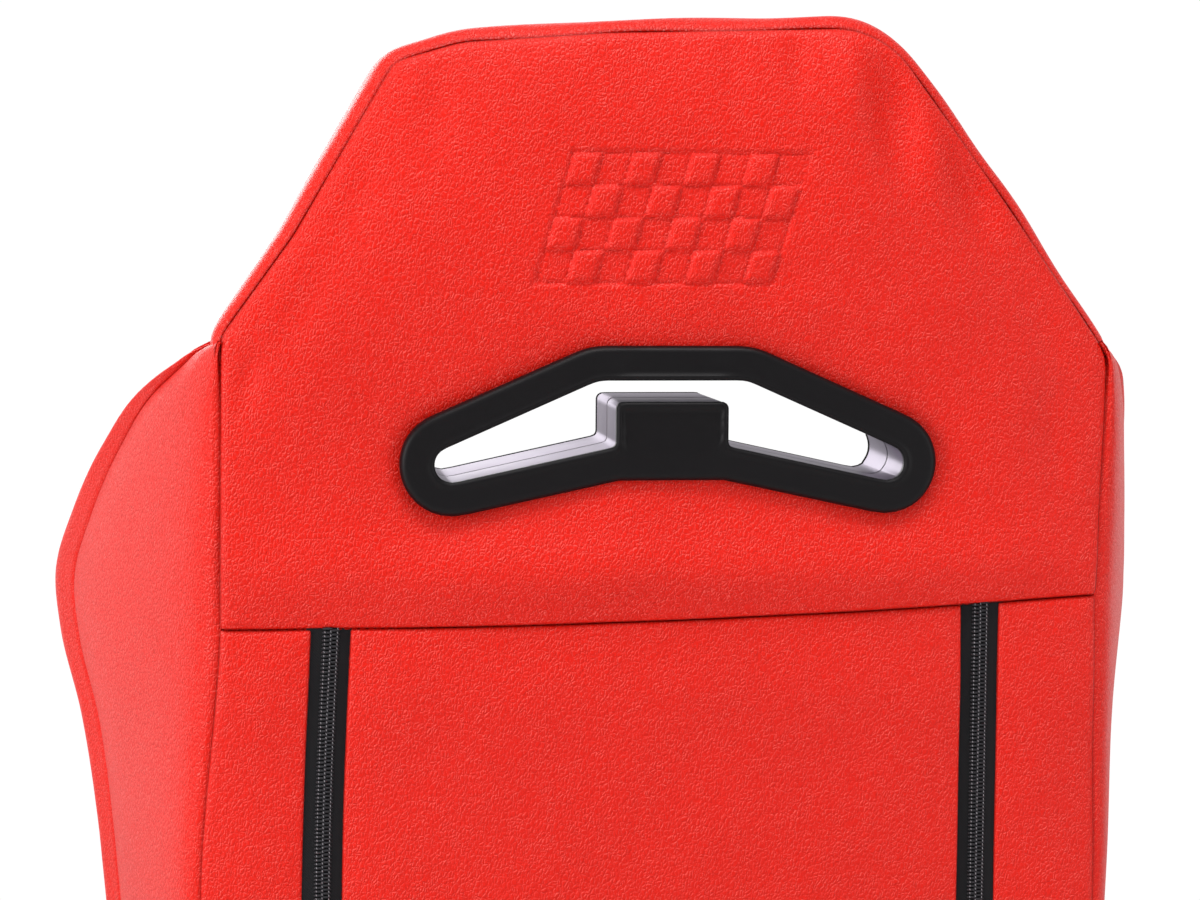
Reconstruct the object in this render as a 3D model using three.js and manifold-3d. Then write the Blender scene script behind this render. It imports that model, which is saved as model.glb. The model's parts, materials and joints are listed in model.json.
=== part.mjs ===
// Reclining sports seat: a padded backrest with shoulder wings, a harness slot and two zips in the rear cover,
// hinged at a pair of round recliners to a cushion base that slides on two floor rails.
// Millimetres. +Z up, the seat faces -Y, so the sitter's left is +X. The origin is the middle of the seat's
// outer box at the height of the faces that bolt to the floor.
import * as THREE from "three";
import { mergeVertices } from "three/addons/utils/BufferGeometryUtils.js";
import Module from "manifold-3d";

const wasm = await Module();
wasm.setup();

const { degToRad, lerp: mix, smoothstep, clamp } = THREE.MathUtils;

// ------------------------------------------------------------------ driving dimensions

const GAP = 0.3; // left between pieces that touch
const RUNNING_GAP = 1.2; // left round anything that turns or slides
const COVER = 2.5; // synthetic leather on its thin foam backing
const ARC_STEP = degToRad(24); // one facet of a rounded corner
const MITRE_LIMIT = 0.45; // a sharper corner than this is moved in by less than its sides

const FOOT = { length: 42, width: 40, height: 12, holeRadius: 4.5, inset: 34 };
const RAIL = { spacing: 390, length: 430, width: 44, height: 22, wall: 2.5, lip: 10 };
const UPPER_RAIL = { length: 380, plate: 3, neck: 16, flange: 4, rise: 8 };

const PIVOT = { y: 165, height: 138 }; // recliner axis: y, and height above the upper rails
const RECLINE = degToRad(10); // how far the back leans from vertical

const SIDE_MEMBER = { thickness: 3, height: 80, front: -275, rear: 175, foot: 24 };
const FRAME_TUBE = { radius: 12.5, frontY: -270, frontRise: 52, rearY: 96, rearRise: 40 };
const SEAT_SPRING = { wire: 2.2, pitch: 42, swing: 17, spacing: 100 };

const CUSHION = { front: -345, rear: 104, bottom: 86, halfWidth: 250, insertHalf: 155 };
// Heights above the upper rails of the insert and of the bolsters, from front to rear.
const INSERT_TOP = [[-345, 150], [-325, 170], [-290, 184], [-235, 190], [0, 168], [104, 154]];
const BOLSTER_TOP = [
  [-345, 160], [-320, 196], [-265, 226], [-190, 245], [-20, 245], [40, 216], [80, 166], [104, 153],
];

const RECLINER = { radius: 42, discWidth: 6, plate: 4, boss: 46, plateInner: 197 };
const SHAFT = { radius: 6, halfLength: 266 };
const LEVER = { hub: 17, length: 165, tip: 9, thickness: 12, lift: degToRad(8) };
const TRIM = { inner: 219, outer: 252, wall: 2.5, front: -262, rear: 214, boss: 56, rise: 78, drop: 6 };
const SPIRAL = { inner: 13, turns: 3.5, pitch: 6, strip: 1.6, width: 8 };

const SLIDE_BAR = { radius: 5, halfWidth: 180, pivotY: -140, front: -332, bend: 30 };

// The backrest is drawn in its own frame: x to the sitter's left, y to the rear, z up from the recliner axis.
const BACK = {
  seamHalf: 217, // rear seam between the flat rear cover and the side panels
  shoulder: 610, // where the wings end and the head part begins
  top: 760,
  topHalf: 121,
  yokeSeam: 474, // seam across the rear cover, above the zips
  lowerEdge: 62,
  rear: 60, // the rear cover's surface at the middle
  crown: 8, // how far it falls to the side seams
  panel: 18, // rear cover with its padding
  frameRear: 38,
  frameFront: 14, // the tube frame lies between these two
  front: -15, // the front surface beside the harness slot
  gusset: 4.8, // the side and top covers stand out past the seam by this
};
const HEAD = {
  wing: 34, // how far the front comes forward at the sides
  wingGrows: [440, 560], // heights between which the wing grows from nothing
  wingFades: [690, 760],
  flat: 0.62, // share of the half width that stays flat round the slot
  topRound: 12,
};
const LUMBAR = { front: -25, bulge: 12, height: 175, spread: 95, roll: 46, top: 439, half: 156 };

// The wings, by height above the recliner axis: how far they stand out past the seam, and forwards of it.
const WING = [
  { height: 62, flare: 24, depth: 94 },
  { height: 120, flare: 33, depth: 120 },
  { height: 200, flare: 45, depth: 150 },
  { height: 320, flare: 59, depth: 188 },
  { height: 400, flare: 72, depth: 214 },
  { height: 440, flare: 84, depth: 238 },
  { height: 470, flare: 86, depth: 240 },
  { height: 510, flare: 76, depth: 202 },
  { height: 550, flare: 60, depth: 150 },
  { height: 580, flare: 39, depth: 92 },
  { height: 598, flare: 21, depth: 52 },
];
const WING_SPLAY = { from: 440, to: 505 }; // heights between which the wings' inner edges move out to the seam
const WING_TIP = 44; // thickness of a wing's front edge

const HOOP = { radius: 11, half: 185, shoulder: 575, topHalf: 84, top: 728, bottom: 22, bend: 46 };
const CROSS_BAR = { radius: 8, upper: 660, lower: 92 };
const BACK_SPRING = { wire: 2, pitch: 46, swing: 20, heights: [210, 380] };

// The harness slot: a moustache-shaped opening with a square tab standing up in the middle of its lower edge.
const SLOT = {
  height: 551, // of the centres of its round ends
  endCentre: 105.5,
  endRadius: 8.5,
  topHalf: 36,
  top: 40,
  tabHalf: 27.2,
  base: 8.3,
  tabTop: 29.8,
  band: 16.5, // width of the bezel round it
  bezel: 3.6,
  sleeve: 2.4,
  split: 24, // where the rear and front sleeves meet
};

const ZIP = { x: 159, tapeWidth: 17, tape: 1.4, chainWidth: 7.2, chain: 2.6, sunk: 3 };
const ZIP_SLIDER = { width: 11, length: 17, height: 3.4, rest: 82 };
const ZIP_PULL = { width: 8, length: 34, thickness: 1.6, hole: 2.2 };

// ------------------------------------------------------------------ materials

function material(name, color, roughness, metalness) {
  return Object.assign(new THREE.MeshStandardMaterial({ color, roughness, metalness }), { name });
}
const redLeather = material("red_leather", 0xe63226, 0.45, 0);
const paddingFoam = material("padding_foam", 0xd8d2b8, 0.95, 0);
const blackPlastic = material("black_plastic", 0x232125, 0.5, 0);
const chromePlastic = material("chrome_trim", 0xdcd6dc, 0.12, 1);
const paintedSteel = material("painted_steel", 0x1d1e20, 0.5, 0.6);
const zincSteel = material("zinc_steel", 0x9fa3a6, 0.4, 0.9);
const zipFabric = material("zip_fabric", 0x222225, 0.85, 0);
const zipMetal = material("zip_metal", 0x4a4a4e, 0.35, 0.8);

// ------------------------------------------------------------------ outlines and solids

/** The value at a place on a line of straight stretches through [place, value] pairs. */
function along(pairs, place) {
  const last = pairs.length - 1;
  if (place <= pairs[0][0]) return pairs[0][1];
  if (place >= pairs[last][0]) return pairs[last][1];
  const i = pairs.findIndex(([p]) => p > place);
  const [[p0, v0], [p1, v1]] = [pairs[i - 1], pairs[i]];
  return mix(v0, v1, (place - p0) / (p1 - p0));
}

/** A closed outline through corners [x, y, radius], each turned into an arc of that radius. */
function rounded(corners) {
  const points = [];
  const at = (i) => new THREE.Vector2(...corners.at(i % corners.length));
  corners.forEach(([, , radius], i) => {
    const corner = at(i);
    if (!radius) {
      points.push(corner);
      return;
    }
    const toLast = at(i - 1).sub(corner).normalize();
    const toNext = at(i + 1).sub(corner).normalize();
    const half = Math.acos(clamp(toLast.dot(toNext), -1, 1)) / 2;
    const inward = toLast.clone().add(toNext).normalize();
    const centre = corner.clone().addScaledVector(inward, radius / Math.sin(half));
    const start = corner.clone().addScaledVector(toLast, radius / Math.tan(half));
    const turn = (Math.PI - 2 * half) * Math.sign(toNext.cross(toLast));
    const steps = Math.max(1, Math.ceil(Math.abs(turn) / ARC_STEP));
    for (let k = 0; k <= steps; k++) {
      points.push(start.clone().rotateAround(centre, (turn * k) / steps));
    }
  });
  return points.filter((p, i) => p.distanceTo(points.at(i - 1)) > 0.05);
}

/** The corners of a box outline, for rounded(). */
function boxCorners(x0, y0, x1, y1, radius = 0) {
  return [[x0, y0, radius], [x1, y0, radius], [x1, y1, radius], [x0, y1, radius]];
}

function circle(x, y, radius, sides) {
  return Array.from({ length: sides }, (_, i) => {
    const turn = (2 * Math.PI * i) / sides;
    return new THREE.Vector2(x + radius * Math.cos(turn), y + radius * Math.sin(turn));
  });
}

/** Corners mirrored in x = 0 and put in front of themselves, so that a half outline is drawn once. */
function bothSides(half) {
  const mirrored = half.map(([x, y, radius]) => [-x, y, radius]).reverse();
  return [...half, ...mirrored];
}

function extruded(points, depth, holes = []) {
  const shape = new THREE.Shape(points);
  shape.holes = holes.map((hole) => new THREE.Path(hole));
  return new THREE.ExtrudeGeometry(shape, { depth, bevelEnabled: false });
}

/** An outline in x and z, extruded forwards from y = rear. */
function upright(points, rear, depth, holes) {
  return extruded(points, depth, holes).rotateX(Math.PI / 2).translate(0, rear, 0);
}

const SIDEWAYS = new THREE.Matrix4().makeBasis(
  new THREE.Vector3(0, 1, 0),
  new THREE.Vector3(0, 0, 1),
  new THREE.Vector3(1, 0, 0),
);

/** An outline in y and z, extruded to the left from x = start. */
function sideways(points, start, width, holes) {
  return extruded(points, width, holes).applyMatrix4(SIDEWAYS).translate(start, 0, 0);
}

/** A bar of round section along a curve. */
function tube(curve, radius, steps, sides = 10) {
  const shape = new THREE.Shape(circle(0, 0, radius, sides));
  return new THREE.ExtrudeGeometry(shape, { steps, extrudePath: curve, bevelEnabled: false });
}

/** A round bar along x, from one place to another. */
function roundBar(radius, from, to, y, z, sides = 20) {
  return sideways(circle(y, z, radius, sides), from, to - from);
}

/** A path of straight stretches through points, its corners turned into bends of one size. */
function bentPath(points, bend) {
  const path = new THREE.CurvePath();
  const corners = points.map((p) => new THREE.Vector3(...p));
  let from = corners[0];
  corners.slice(1, -1).forEach((corner, i) => {
    const start = corner.clone().add(corners[i].clone().sub(corner).setLength(bend));
    const end = corner.clone().add(corners[i + 2].clone().sub(corner).setLength(bend));
    path.add(new THREE.LineCurve3(from, start));
    path.add(new THREE.QuadraticBezierCurve3(start, corner, end));
    from = end;
  });
  path.add(new THREE.LineCurve3(from, corners.at(-1)));
  return path;
}

/**
 * A solid whose section changes along z: section(level) gives the same number of points at each level.
 * It is an extrusion of the middle section, whose rings are then each moved to their own section.
 */
function drawn(levels, section) {
  const sections = levels.map(section);
  const middle = sections[Math.floor(levels.length / 2)];
  const key = (x, y) => `${x.toFixed(2)} ${y.toFixed(2)}`;
  const indexOf = new Map(middle.map((p, i) => [key(p.x, p.y), i]));
  const steps = levels.length - 1;
  const geometry = new THREE.ExtrudeGeometry(new THREE.Shape(middle), { depth: 1, steps, bevelEnabled: false });
  const position = geometry.getAttribute("position");
  for (let i = 0; i < position.count; i++) {
    const level = Math.round(position.getZ(i) * steps);
    const point = sections[level][indexOf.get(key(position.getX(i), position.getY(i)))];
    position.setXYZ(i, point.x, point.y, levels[level]);
  }
  return geometry;
}

/** An anticlockwise section with each side moved in by a distance. */
function inset(points, distance) {
  return points.map((p, i) => {
    const before = p.clone().sub(points.at(i - 1)).normalize();
    const after = points[(i + 1) % points.length].clone().sub(p).normalize();
    const mean = before.clone().add(after).normalize();
    const by = distance / Math.max(mean.dot(after), MITRE_LIMIT);
    return new THREE.Vector2(p.x - mean.y * by, p.y + mean.x * by);
  });
}

/** The hollow of a cover: its section moved in by the cover's thickness, with some points moved out of its open side. */
function hollowed(points, open, moveX, moveY) {
  const inner = inset(points, COVER);
  for (const i of open) inner[i].add(new THREE.Vector2(moveX, moveY));
  return inner;
}

/** Levels moved in from both ends by a distance. */
function shortened(levels, by) {
  return levels.map((level, i) => level + (i === 0 ? by : i === levels.length - 1 ? -by : 0));
}

function toSolid(geometry) {
  const bare = new THREE.BufferGeometry();
  const flat = geometry.index ? geometry.toNonIndexed() : geometry;
  bare.setAttribute("position", flat.getAttribute("position").clone());
  const merged = mergeVertices(bare, 1e-3);
  return new wasm.Manifold(
    new wasm.Mesh({
      numProp: 3,
      vertProperties: merged.getAttribute("position").array,
      triVerts: new Uint32Array(merged.index.array),
    }),
  );
}

function toGeometry(solid) {
  const mesh = solid.getMesh();
  const geometry = new THREE.BufferGeometry();
  geometry.setAttribute("position", new THREE.BufferAttribute(mesh.vertProperties, 3));
  geometry.setIndex(new THREE.BufferAttribute(mesh.triVerts, 1));
  geometry.computeVertexNormals();
  return geometry;
}

function cut(geometry, ...tools) {
  return toGeometry(tools.reduce((solid, tool) => solid.subtract(toSolid(tool)), toSolid(geometry)));
}

function join(...geometries) {
  return toGeometry(geometries.map(toSolid).reduce((a, b) => a.add(b)));
}

// ------------------------------------------------------------------ scene graph

const seat = new THREE.Group();
const rails = new THREE.Group();
const base = new THREE.Group();
const back = new THREE.Group();
seat.add(rails, base);
base.add(back);

function piece(group, name, geometry, itsMaterial) {
  const mesh = new THREE.Mesh(geometry, itsMaterial);
  mesh.name = name;
  group.add(mesh);
  return mesh;
}

/** Two pieces, NAME_left as drawn at +x and NAME_right its mirror image. */
function pair(group, name, geometry, itsMaterial) {
  piece(group, `${name}_left`, geometry, itsMaterial);
  piece(group, `${name}_right`, geometry, itsMaterial).scale.x = -1;
}

const railX = RAIL.spacing / 2;
const railBottom = FOOT.height + GAP;
const upperRailTop = railBottom + RAIL.height + UPPER_RAIL.rise;
base.position.z = upperRailTop + GAP; // everything on the base is drawn from the upper rails' top face
back.position.set(0, PIVOT.y, PIVOT.height);
back.rotation.x = -RECLINE;

// ------------------------------------------------------------------ rails and feet

function lowerRail() {
  const half = RAIL.width / 2;
  const inner = half - RAIL.wall;
  const lipEdge = half - RAIL.lip;
  const top = RAIL.height;
  const profile = bothSides([
    [half, 0], [half, top], [lipEdge, top], [lipEdge, top - RAIL.wall], [inner, top - RAIL.wall], [inner, RAIL.wall],
  ]);
  const rail = upright(rounded(profile), RAIL.length / 2, RAIL.length);
  return rail.translate(railX, 0, railBottom);
}

function upperRail() {
  const half = RAIL.width / 2;
  const runner = half - RAIL.wall - RUNNING_GAP;
  const neck = UPPER_RAIL.neck / 2;
  const top = RAIL.height + UPPER_RAIL.rise;
  const runnerTop = RAIL.height - RAIL.wall - RUNNING_GAP;
  const profile = bothSides([
    [runner, runnerTop - UPPER_RAIL.plate], [runner, runnerTop], [neck, runnerTop],
    [neck, top - UPPER_RAIL.flange], [half, top - UPPER_RAIL.flange], [half, top],
  ]);
  const rail = upright(rounded(profile), UPPER_RAIL.length / 2, UPPER_RAIL.length);
  return rail.translate(railX, 0, railBottom);
}

function foot(y) {
  const corners = boxCorners(-FOOT.width / 2, y - FOOT.length / 2, FOOT.width / 2, y + FOOT.length / 2, 5);
  const hole = circle(0, y, FOOT.holeRadius, 18);
  return extruded(rounded(corners), FOOT.height, [hole]).translate(railX, 0, 0);
}

const footY = RAIL.length / 2 - FOOT.inset;
pair(rails, "lower_rail", lowerRail(), zincSteel);
pair(rails, "rail_foot_front", foot(-footY), paintedSteel);
pair(rails, "rail_foot_rear", foot(footY), paintedSteel);

const upperRails = new THREE.Group();
upperRails.position.z = -base.position.z;
base.add(upperRails);
pair(upperRails, "upper_rail", upperRail(), zincSteel);

// ------------------------------------------------------------------ cushion frame

// From the inside out: the back's bracket, the disc welded to it, the fixed disc, the base plate.
const bracketX = RECLINER.plateInner;
const movingDiscX = bracketX + RECLINER.plate + GAP;
const fixedDiscX = movingDiscX + RECLINER.discWidth + GAP;
const basePlateX = fixedDiscX + RECLINER.discWidth + GAP;
const sideX = basePlateX - GAP - SIDE_MEMBER.thickness; // inner face of a side member

function sideMember() {
  const { front, rear, height, thickness } = SIDE_MEMBER;
  const outline = rounded([
    [front, 0, 4], [rear, 0, 4], [rear, height - 34, 20], [rear - 60, height - 14, 40],
    [front + 70, height, 40], [front, height - 22, 14],
  ]);
  const holes = [-170, -60, 50].map((y) => circle(y, height * 0.42, 17, 18));
  const web = sideways(outline, sideX, thickness, holes);
  const flange = boxCorners(sideX - SIDE_MEMBER.foot + thickness, 0, sideX + thickness, thickness);
  const footLength = UPPER_RAIL.length - 10;
  return join(web, upright(rounded(flange), footLength / 2, footLength));
}

/** A zigzag wire of round bends from start to end, swinging to each side of the line between them. */
function zigzag(start, end, side, { wire, pitch, swing }) {
  const line = end.clone().sub(start);
  const turns = Math.max(2, Math.round(line.length() / pitch));
  const points = Array.from({ length: 4 * turns + 1 }, (_, i) => {
    const share = i / (4 * turns);
    const ease = smoothstep(share, 0, 0.06) * smoothstep(1 - share, 0, 0.06);
    const offset = swing * ease * Math.sin(share * turns * 2 * Math.PI);
    return start.clone().addScaledVector(line, share).addScaledVector(side, offset);
  });
  return tube(new THREE.CatmullRomCurve3(points), wire, 5 * turns, 5);
}

const across = new THREE.Vector3(1, 0, 0);
const frameTubeEnd = sideX - GAP;
pair(base, "side_member", sideMember(), paintedSteel);
for (const [name, y, rise] of [
  ["front_cross_tube", FRAME_TUBE.frontY, FRAME_TUBE.frontRise],
  ["rear_cross_tube", FRAME_TUBE.rearY, FRAME_TUBE.rearRise],
]) {
  piece(base, name, roundBar(FRAME_TUBE.radius, -frameTubeEnd, frameTubeEnd, y, rise), paintedSteel);
}

/** A seat spring lies on the two cross tubes. */
function seatSpring(x) {
  const over = FRAME_TUBE.radius + SEAT_SPRING.wire + GAP;
  const start = new THREE.Vector3(x, FRAME_TUBE.frontY, FRAME_TUBE.frontRise + over);
  const end = new THREE.Vector3(x, FRAME_TUBE.rearY, FRAME_TUBE.rearRise + over);
  return zigzag(start, end, across, SEAT_SPRING);
}
for (const [name, x] of [["left", 1], ["centre", 0], ["right", -1]]) {
  piece(base, `seat_spring_${name}`, seatSpring(x * SEAT_SPRING.spacing), zincSteel);
}

// ------------------------------------------------------------------ cushion

/** The cushion's section at a distance forwards of y = 0: a flat insert between two raised bolsters. */
function cushionSection(forwards) {
  const { halfWidth, insertHalf, bottom } = CUSHION;
  const insert = along(INSERT_TOP, -forwards);
  const bolster = along(BOLSTER_TOP, -forwards);
  const ridge = halfWidth - 34;
  const half = [
    [halfWidth - 8, bottom], [halfWidth, mix(bottom, bolster, 0.25)], [halfWidth - 2, mix(bottom, bolster, 0.8)],
    [halfWidth - 13, bolster - 5], [ridge, bolster], [ridge - 20, mix(insert, bolster, 0.84)],
    [insertHalf + 8, mix(insert, bolster, 0.16)], [insertHalf - 6, insert], [insertHalf / 2, insert + 5],
  ];
  return bothSides(half).map(([x, z]) => new THREE.Vector2(x, z));
}

const cushionLevels = [-CUSHION.rear, -82, -60, -30, 10, 60, 130, 200, 255, 298, 328, -CUSHION.front];

function cushionCover() {
  const outside = drawn(cushionLevels, cushionSection);
  const last = cushionSection(0).length - 1;
  const hollow = drawn(shortened(cushionLevels, COVER), (level) =>
    hollowed(cushionSection(level), [0, last], 0, -3 * COVER),
  );
  return cut(outside, hollow).rotateX(Math.PI / 2);
}

function cushionFoam() {
  const under = COVER + GAP;
  return drawn(shortened(cushionLevels, under), (level) => inset(cushionSection(level), under)).rotateX(Math.PI / 2);
}

piece(base, "cushion_foam", cushionFoam(), paddingFoam);
piece(base, "cushion_cover", cushionCover(), redLeather);

// ------------------------------------------------------------------ recliners, release shaft and levers

const shaftHole = SHAFT.radius + RUNNING_GAP;

function disc(x, radius) {
  return sideways(circle(0, 0, radius, 32), x, RECLINER.discWidth, [circle(0, 0, shaftHole, 18)]);
}

function basePlate() {
  const lowest = -PIVOT.height + 8;
  const outline = rounded([
    [-80, lowest, 8], [8, lowest, 8], [34, lowest + 50, 30], [RECLINER.boss, -18, 30],
    [RECLINER.boss, RECLINER.boss, RECLINER.boss - 4], [-RECLINER.boss, RECLINER.boss, RECLINER.boss - 4],
    [-RECLINER.boss, -22, 6], [-80, lowest + 30, 12],
  ]);
  return sideways(outline, basePlateX, RECLINER.plate, [circle(0, 0, shaftHole, 18)]);
}

function spiralSpring() {
  const points = Array.from({ length: Math.round(SPIRAL.turns * 14) + 1 }, (_, i) => {
    const turn = (i / 14) * 2 * Math.PI;
    const radius = SPIRAL.inner + (SPIRAL.pitch * turn) / (2 * Math.PI);
    return new THREE.Vector2(radius, 0).rotateAround(new THREE.Vector2(), turn);
  });
  const inner = points.map((p) => p.clone().setLength(p.length() - SPIRAL.strip)).reverse();
  return sideways([...points, ...inner], basePlateX + RECLINER.plate + GAP, SPIRAL.width);
}

/** The side trim: a shell open towards the frame, with a round boss over the recliner. Drawn from the pivot. */
function sideTrim() {
  const { inner, outer, wall, boss } = TRIM;
  const front = TRIM.front - PIVOT.y;
  const rear = TRIM.rear - PIVOT.y;
  const low = -PIVOT.height + TRIM.drop;
  const high = low + TRIM.rise;
  const shellOutline = (by) =>
    rounded([
      [front + by, low + by, 16], [rear - by, low + by, 24], [boss - by, low + 66, 30],
      [boss - by, boss - by, boss - 6], [-boss + by, boss - by, boss - 6], [-boss + by, high - by, 3],
      [front + 60, high - by, 60], [front + by, high - 26 - by, 18],
    ]);
  const outside = sideways(shellOutline(0), inner, outer - inner);
  const hollow = sideways(shellOutline(wall), inner - wall, outer - inner);
  const hole = roundBar(shaftHole, inner, outer + wall, 0, 0, 20);
  return cut(outside, hollow, hole);
}

/** A pull lever: a round hub on the shaft's end and an arm that tapers forwards. */
function lever() {
  const { hub, length, tip, thickness, lift } = LEVER;
  const turned = ([y, z, radius]) => {
    const p = new THREE.Vector2(y, z).rotateAround(new THREE.Vector2(), -lift);
    return [p.x, p.y, radius];
  };
  const arm = rounded(
    [[-length, -tip, tip - 1], [-30, -13, 20], [0, -13, 0], [0, 13, 0], [-34, 12, 20], [-length, tip, tip - 1]].map(turned),
  );
  const start = TRIM.outer + RUNNING_GAP;
  const bore = roundBar(SHAFT.radius + GAP, start - 1, SHAFT.halfLength + GAP, 0, 0);
  const body = join(sideways(circle(0, 0, hub, 28), start, thickness + 4), sideways(arm, start + 2, thickness));
  return cut(body, bore);
}

const pivotGroup = new THREE.Group();
pivotGroup.position.copy(back.position);
base.add(pivotGroup);
pair(pivotGroup, "recliner_base_plate", basePlate(), paintedSteel);
pair(pivotGroup, "recliner_fixed_disc", disc(fixedDiscX, RECLINER.radius), zincSteel);
pair(pivotGroup, "side_trim", sideTrim(), blackPlastic);
pair(pivotGroup, "release_lever", lever(), blackPlastic);
piece(pivotGroup, "recliner_spiral_spring", spiralSpring(), zincSteel);
piece(pivotGroup, "release_shaft", roundBar(SHAFT.radius, -SHAFT.halfLength, SHAFT.halfLength, 0, 0, 16), zincSteel);

// ------------------------------------------------------------------ slide release bar

function slideBar() {
  const { halfWidth, pivotY, front, bend, radius } = SLIDE_BAR;
  const rise = radius + 2 * GAP; // its ends lie on the upper rails
  const corners = [[-1, pivotY], [-1, front], [1, front], [1, pivotY]].map(([side, y]) => [side * halfWidth, y, rise]);
  return tube(bentPath(corners, bend), radius, 24, 8);
}
piece(base, "slide_release_bar", slideBar(), paintedSteel);

// ------------------------------------------------------------------ backrest frame

function hoop() {
  const y = (BACK.frameRear + BACK.frameFront) / 2;
  const half = [[HOOP.half, HOOP.bottom], [HOOP.half, HOOP.shoulder], [HOOP.topHalf, HOOP.top]];
  const left = half.map(([x, z]) => [x, y, z]);
  const right = half.map(([x, z]) => [-x, y, z]).reverse();
  return tube(bentPath([...left, ...right], HOOP.bend), HOOP.radius, 40, 10);
}

/** Half the gap between the hoop's legs at a height, measured at the middle of its tube. */
function hoopHalf(height) {
  return along([[HOOP.shoulder, HOOP.half], [HOOP.top, HOOP.topHalf]], height);
}

function crossBar(height) {
  const y = (BACK.frameRear + BACK.frameFront) / 2;
  const end = hoopHalf(height) - HOOP.radius * 1.5 - CROSS_BAR.radius;
  return roundBar(CROSS_BAR.radius, -end, end, y, height, 14);
}

function backSpring(height) {
  const y = (BACK.frameRear + BACK.frameFront) / 2;
  const end = HOOP.half - HOOP.radius - BACK_SPRING.wire - GAP;
  const up = new THREE.Vector3(0, 0, 1);
  return zigzag(new THREE.Vector3(-end, y, height), new THREE.Vector3(end, y, height), up, BACK_SPRING);
}

function bracket() {
  const { radius, plate } = RECLINER;
  const outline = rounded([
    [-radius, -radius, radius - 2], [radius, -radius, radius - 2], [radius, 30, 16], [BACK.frameRear, 56, 10],
    [BACK.frameRear, 168, 10], [BACK.frameFront, 168, 10], [BACK.frameFront, 48, 4], [-radius, 30, 30],
  ]);
  return sideways(outline, bracketX, plate, [circle(0, 0, shaftHole, 18)]);
}

piece(back, "back_hoop", hoop(), paintedSteel);
piece(back, "back_cross_bar_upper", crossBar(CROSS_BAR.upper), paintedSteel);
piece(back, "back_cross_bar_lower", crossBar(CROSS_BAR.lower), paintedSteel);
piece(back, "back_spring_lower", backSpring(BACK_SPRING.heights[0]), zincSteel);
piece(back, "back_spring_upper", backSpring(BACK_SPRING.heights[1]), zincSteel);
pair(back, "back_bracket", bracket(), paintedSteel);
pair(back, "recliner_moving_disc", disc(movingDiscX, RECLINER.radius), zincSteel);

// ------------------------------------------------------------------ harness slot

/** The slot's outline grown by a distance, with its tab or, for the bezel's outer edge, without. */
function slotOutline(grown, withTab) {
  const { endCentre, endRadius, topHalf, top, tabHalf, base: low, tabTop, height } = SLOT;
  const upper = Math.hypot(endCentre - topHalf, top);
  const upperSlope = Math.atan2(top, endCentre - topHalf) - Math.asin(endRadius / upper);
  const lower = Math.hypot(endCentre - tabHalf, low);
  const lowerSlope = Math.atan2(low, endCentre - tabHalf) + Math.asin(endRadius / lower);
  const end = endCentre + endRadius + grown;
  const topX = topHalf + grown * Math.tan(upperSlope / 2);
  const lowX = tabHalf - grown * Math.tan(lowerSlope / 2);
  const radius = endRadius + grown;
  const half = [
    [lowX, low - grown, 14],
    [end, low - grown - (end - lowX) * Math.tan(lowerSlope), radius],
    [end, top + grown - (end - topX) * Math.tan(upperSlope), radius],
    [topX, top + grown, 22 + grown],
  ];
  if (withTab) {
    const tab = tabHalf - grown;
    const meets = low - grown - (tab - lowX) * Math.tan(lowerSlope);
    half.splice(0, 1, [tab, tabTop - grown, 3.4], [tab, meets, 3]);
  }
  return rounded(bothSides(half).map(([x, z, r]) => [x, z + height, r]));
}

const opening = slotOutline(0, true);
const bezelFoot = BACK.rear - SLOT.bezel + 0.6; // the bezel is sunk into the cover, and stands a little proud of it
const frontBezelFoot = BACK.front - GAP;

function sleeve(rear, front) {
  return upright(slotOutline(SLOT.sleeve, true), rear, rear - front, [opening]);
}

function slotCut(grown, withTab) {
  return upright(slotOutline(grown, withTab), BACK.rear + 20, BACK.rear - BACK.front + 90);
}

const bezelRing = upright(slotOutline(SLOT.band, false), 0, SLOT.bezel, [opening]);
piece(back, "rear_bezel", bezelRing.clone().translate(0, bezelFoot + SLOT.bezel, 0), blackPlastic);
piece(back, "front_bezel", bezelRing.clone().translate(0, frontBezelFoot, 0), blackPlastic);
piece(back, "rear_sleeve", sleeve(bezelFoot - GAP, SLOT.split + GAP), chromePlastic);
piece(back, "front_sleeve", sleeve(SLOT.split, frontBezelFoot + GAP), chromePlastic);

// ------------------------------------------------------------------ rear covers

/** The rear surface's place at a distance from the middle. */
function rearSurface(x) {
  return BACK.rear - BACK.crown * (x / BACK.seamHalf) ** 2;
}

/** The back's outline above a height, grown on its upper edges and at its upright sides. */
function backOutline(bottom, grown, sides = grown, foot = BACK.seamHalf + sides) {
  const { seamHalf, shoulder, top, topHalf } = BACK;
  const lean = Math.atan2(seamHalf - topHalf, top - shoulder);
  const half = [
    [foot, bottom, 0],
    ...(foot < BACK.seamHalf + sides ? [[BACK.seamHalf + sides, WING_SPLAY.to, 0]] : []),
    [seamHalf + sides, shoulder + (grown - sides * Math.cos(lean)) / Math.sin(lean), 24],
    [topHalf + grown * Math.tan((Math.PI / 2 - lean) / 2), top + grown, 50],
  ];
  return rounded(bothSides(half));
}

/** A flat-backed panel of the rear cover whose outer face follows the rear surface. */
function rearPanel(points) {
  const panel = upright(points, BACK.rear, BACK.panel);
  const position = panel.getAttribute("position");
  for (let i = 0; i < position.count; i++) {
    if (position.getY(i) > BACK.rear - 1) position.setY(i, rearSurface(position.getX(i)));
  }
  return panel;
}

/** A panel between two distances from the middle, with a step of its edge every so often for the crown. */
function rearStrip(from, to, bottom, top) {
  const steps = Math.max(1, Math.round((to - from) / 50));
  const low = Array.from({ length: steps + 1 }, (_, i) => new THREE.Vector2(mix(from, to, i / steps), bottom));
  const high = low.map((p) => new THREE.Vector2(p.x, top)).reverse();
  return rearPanel([...low, ...high]);
}

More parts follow.
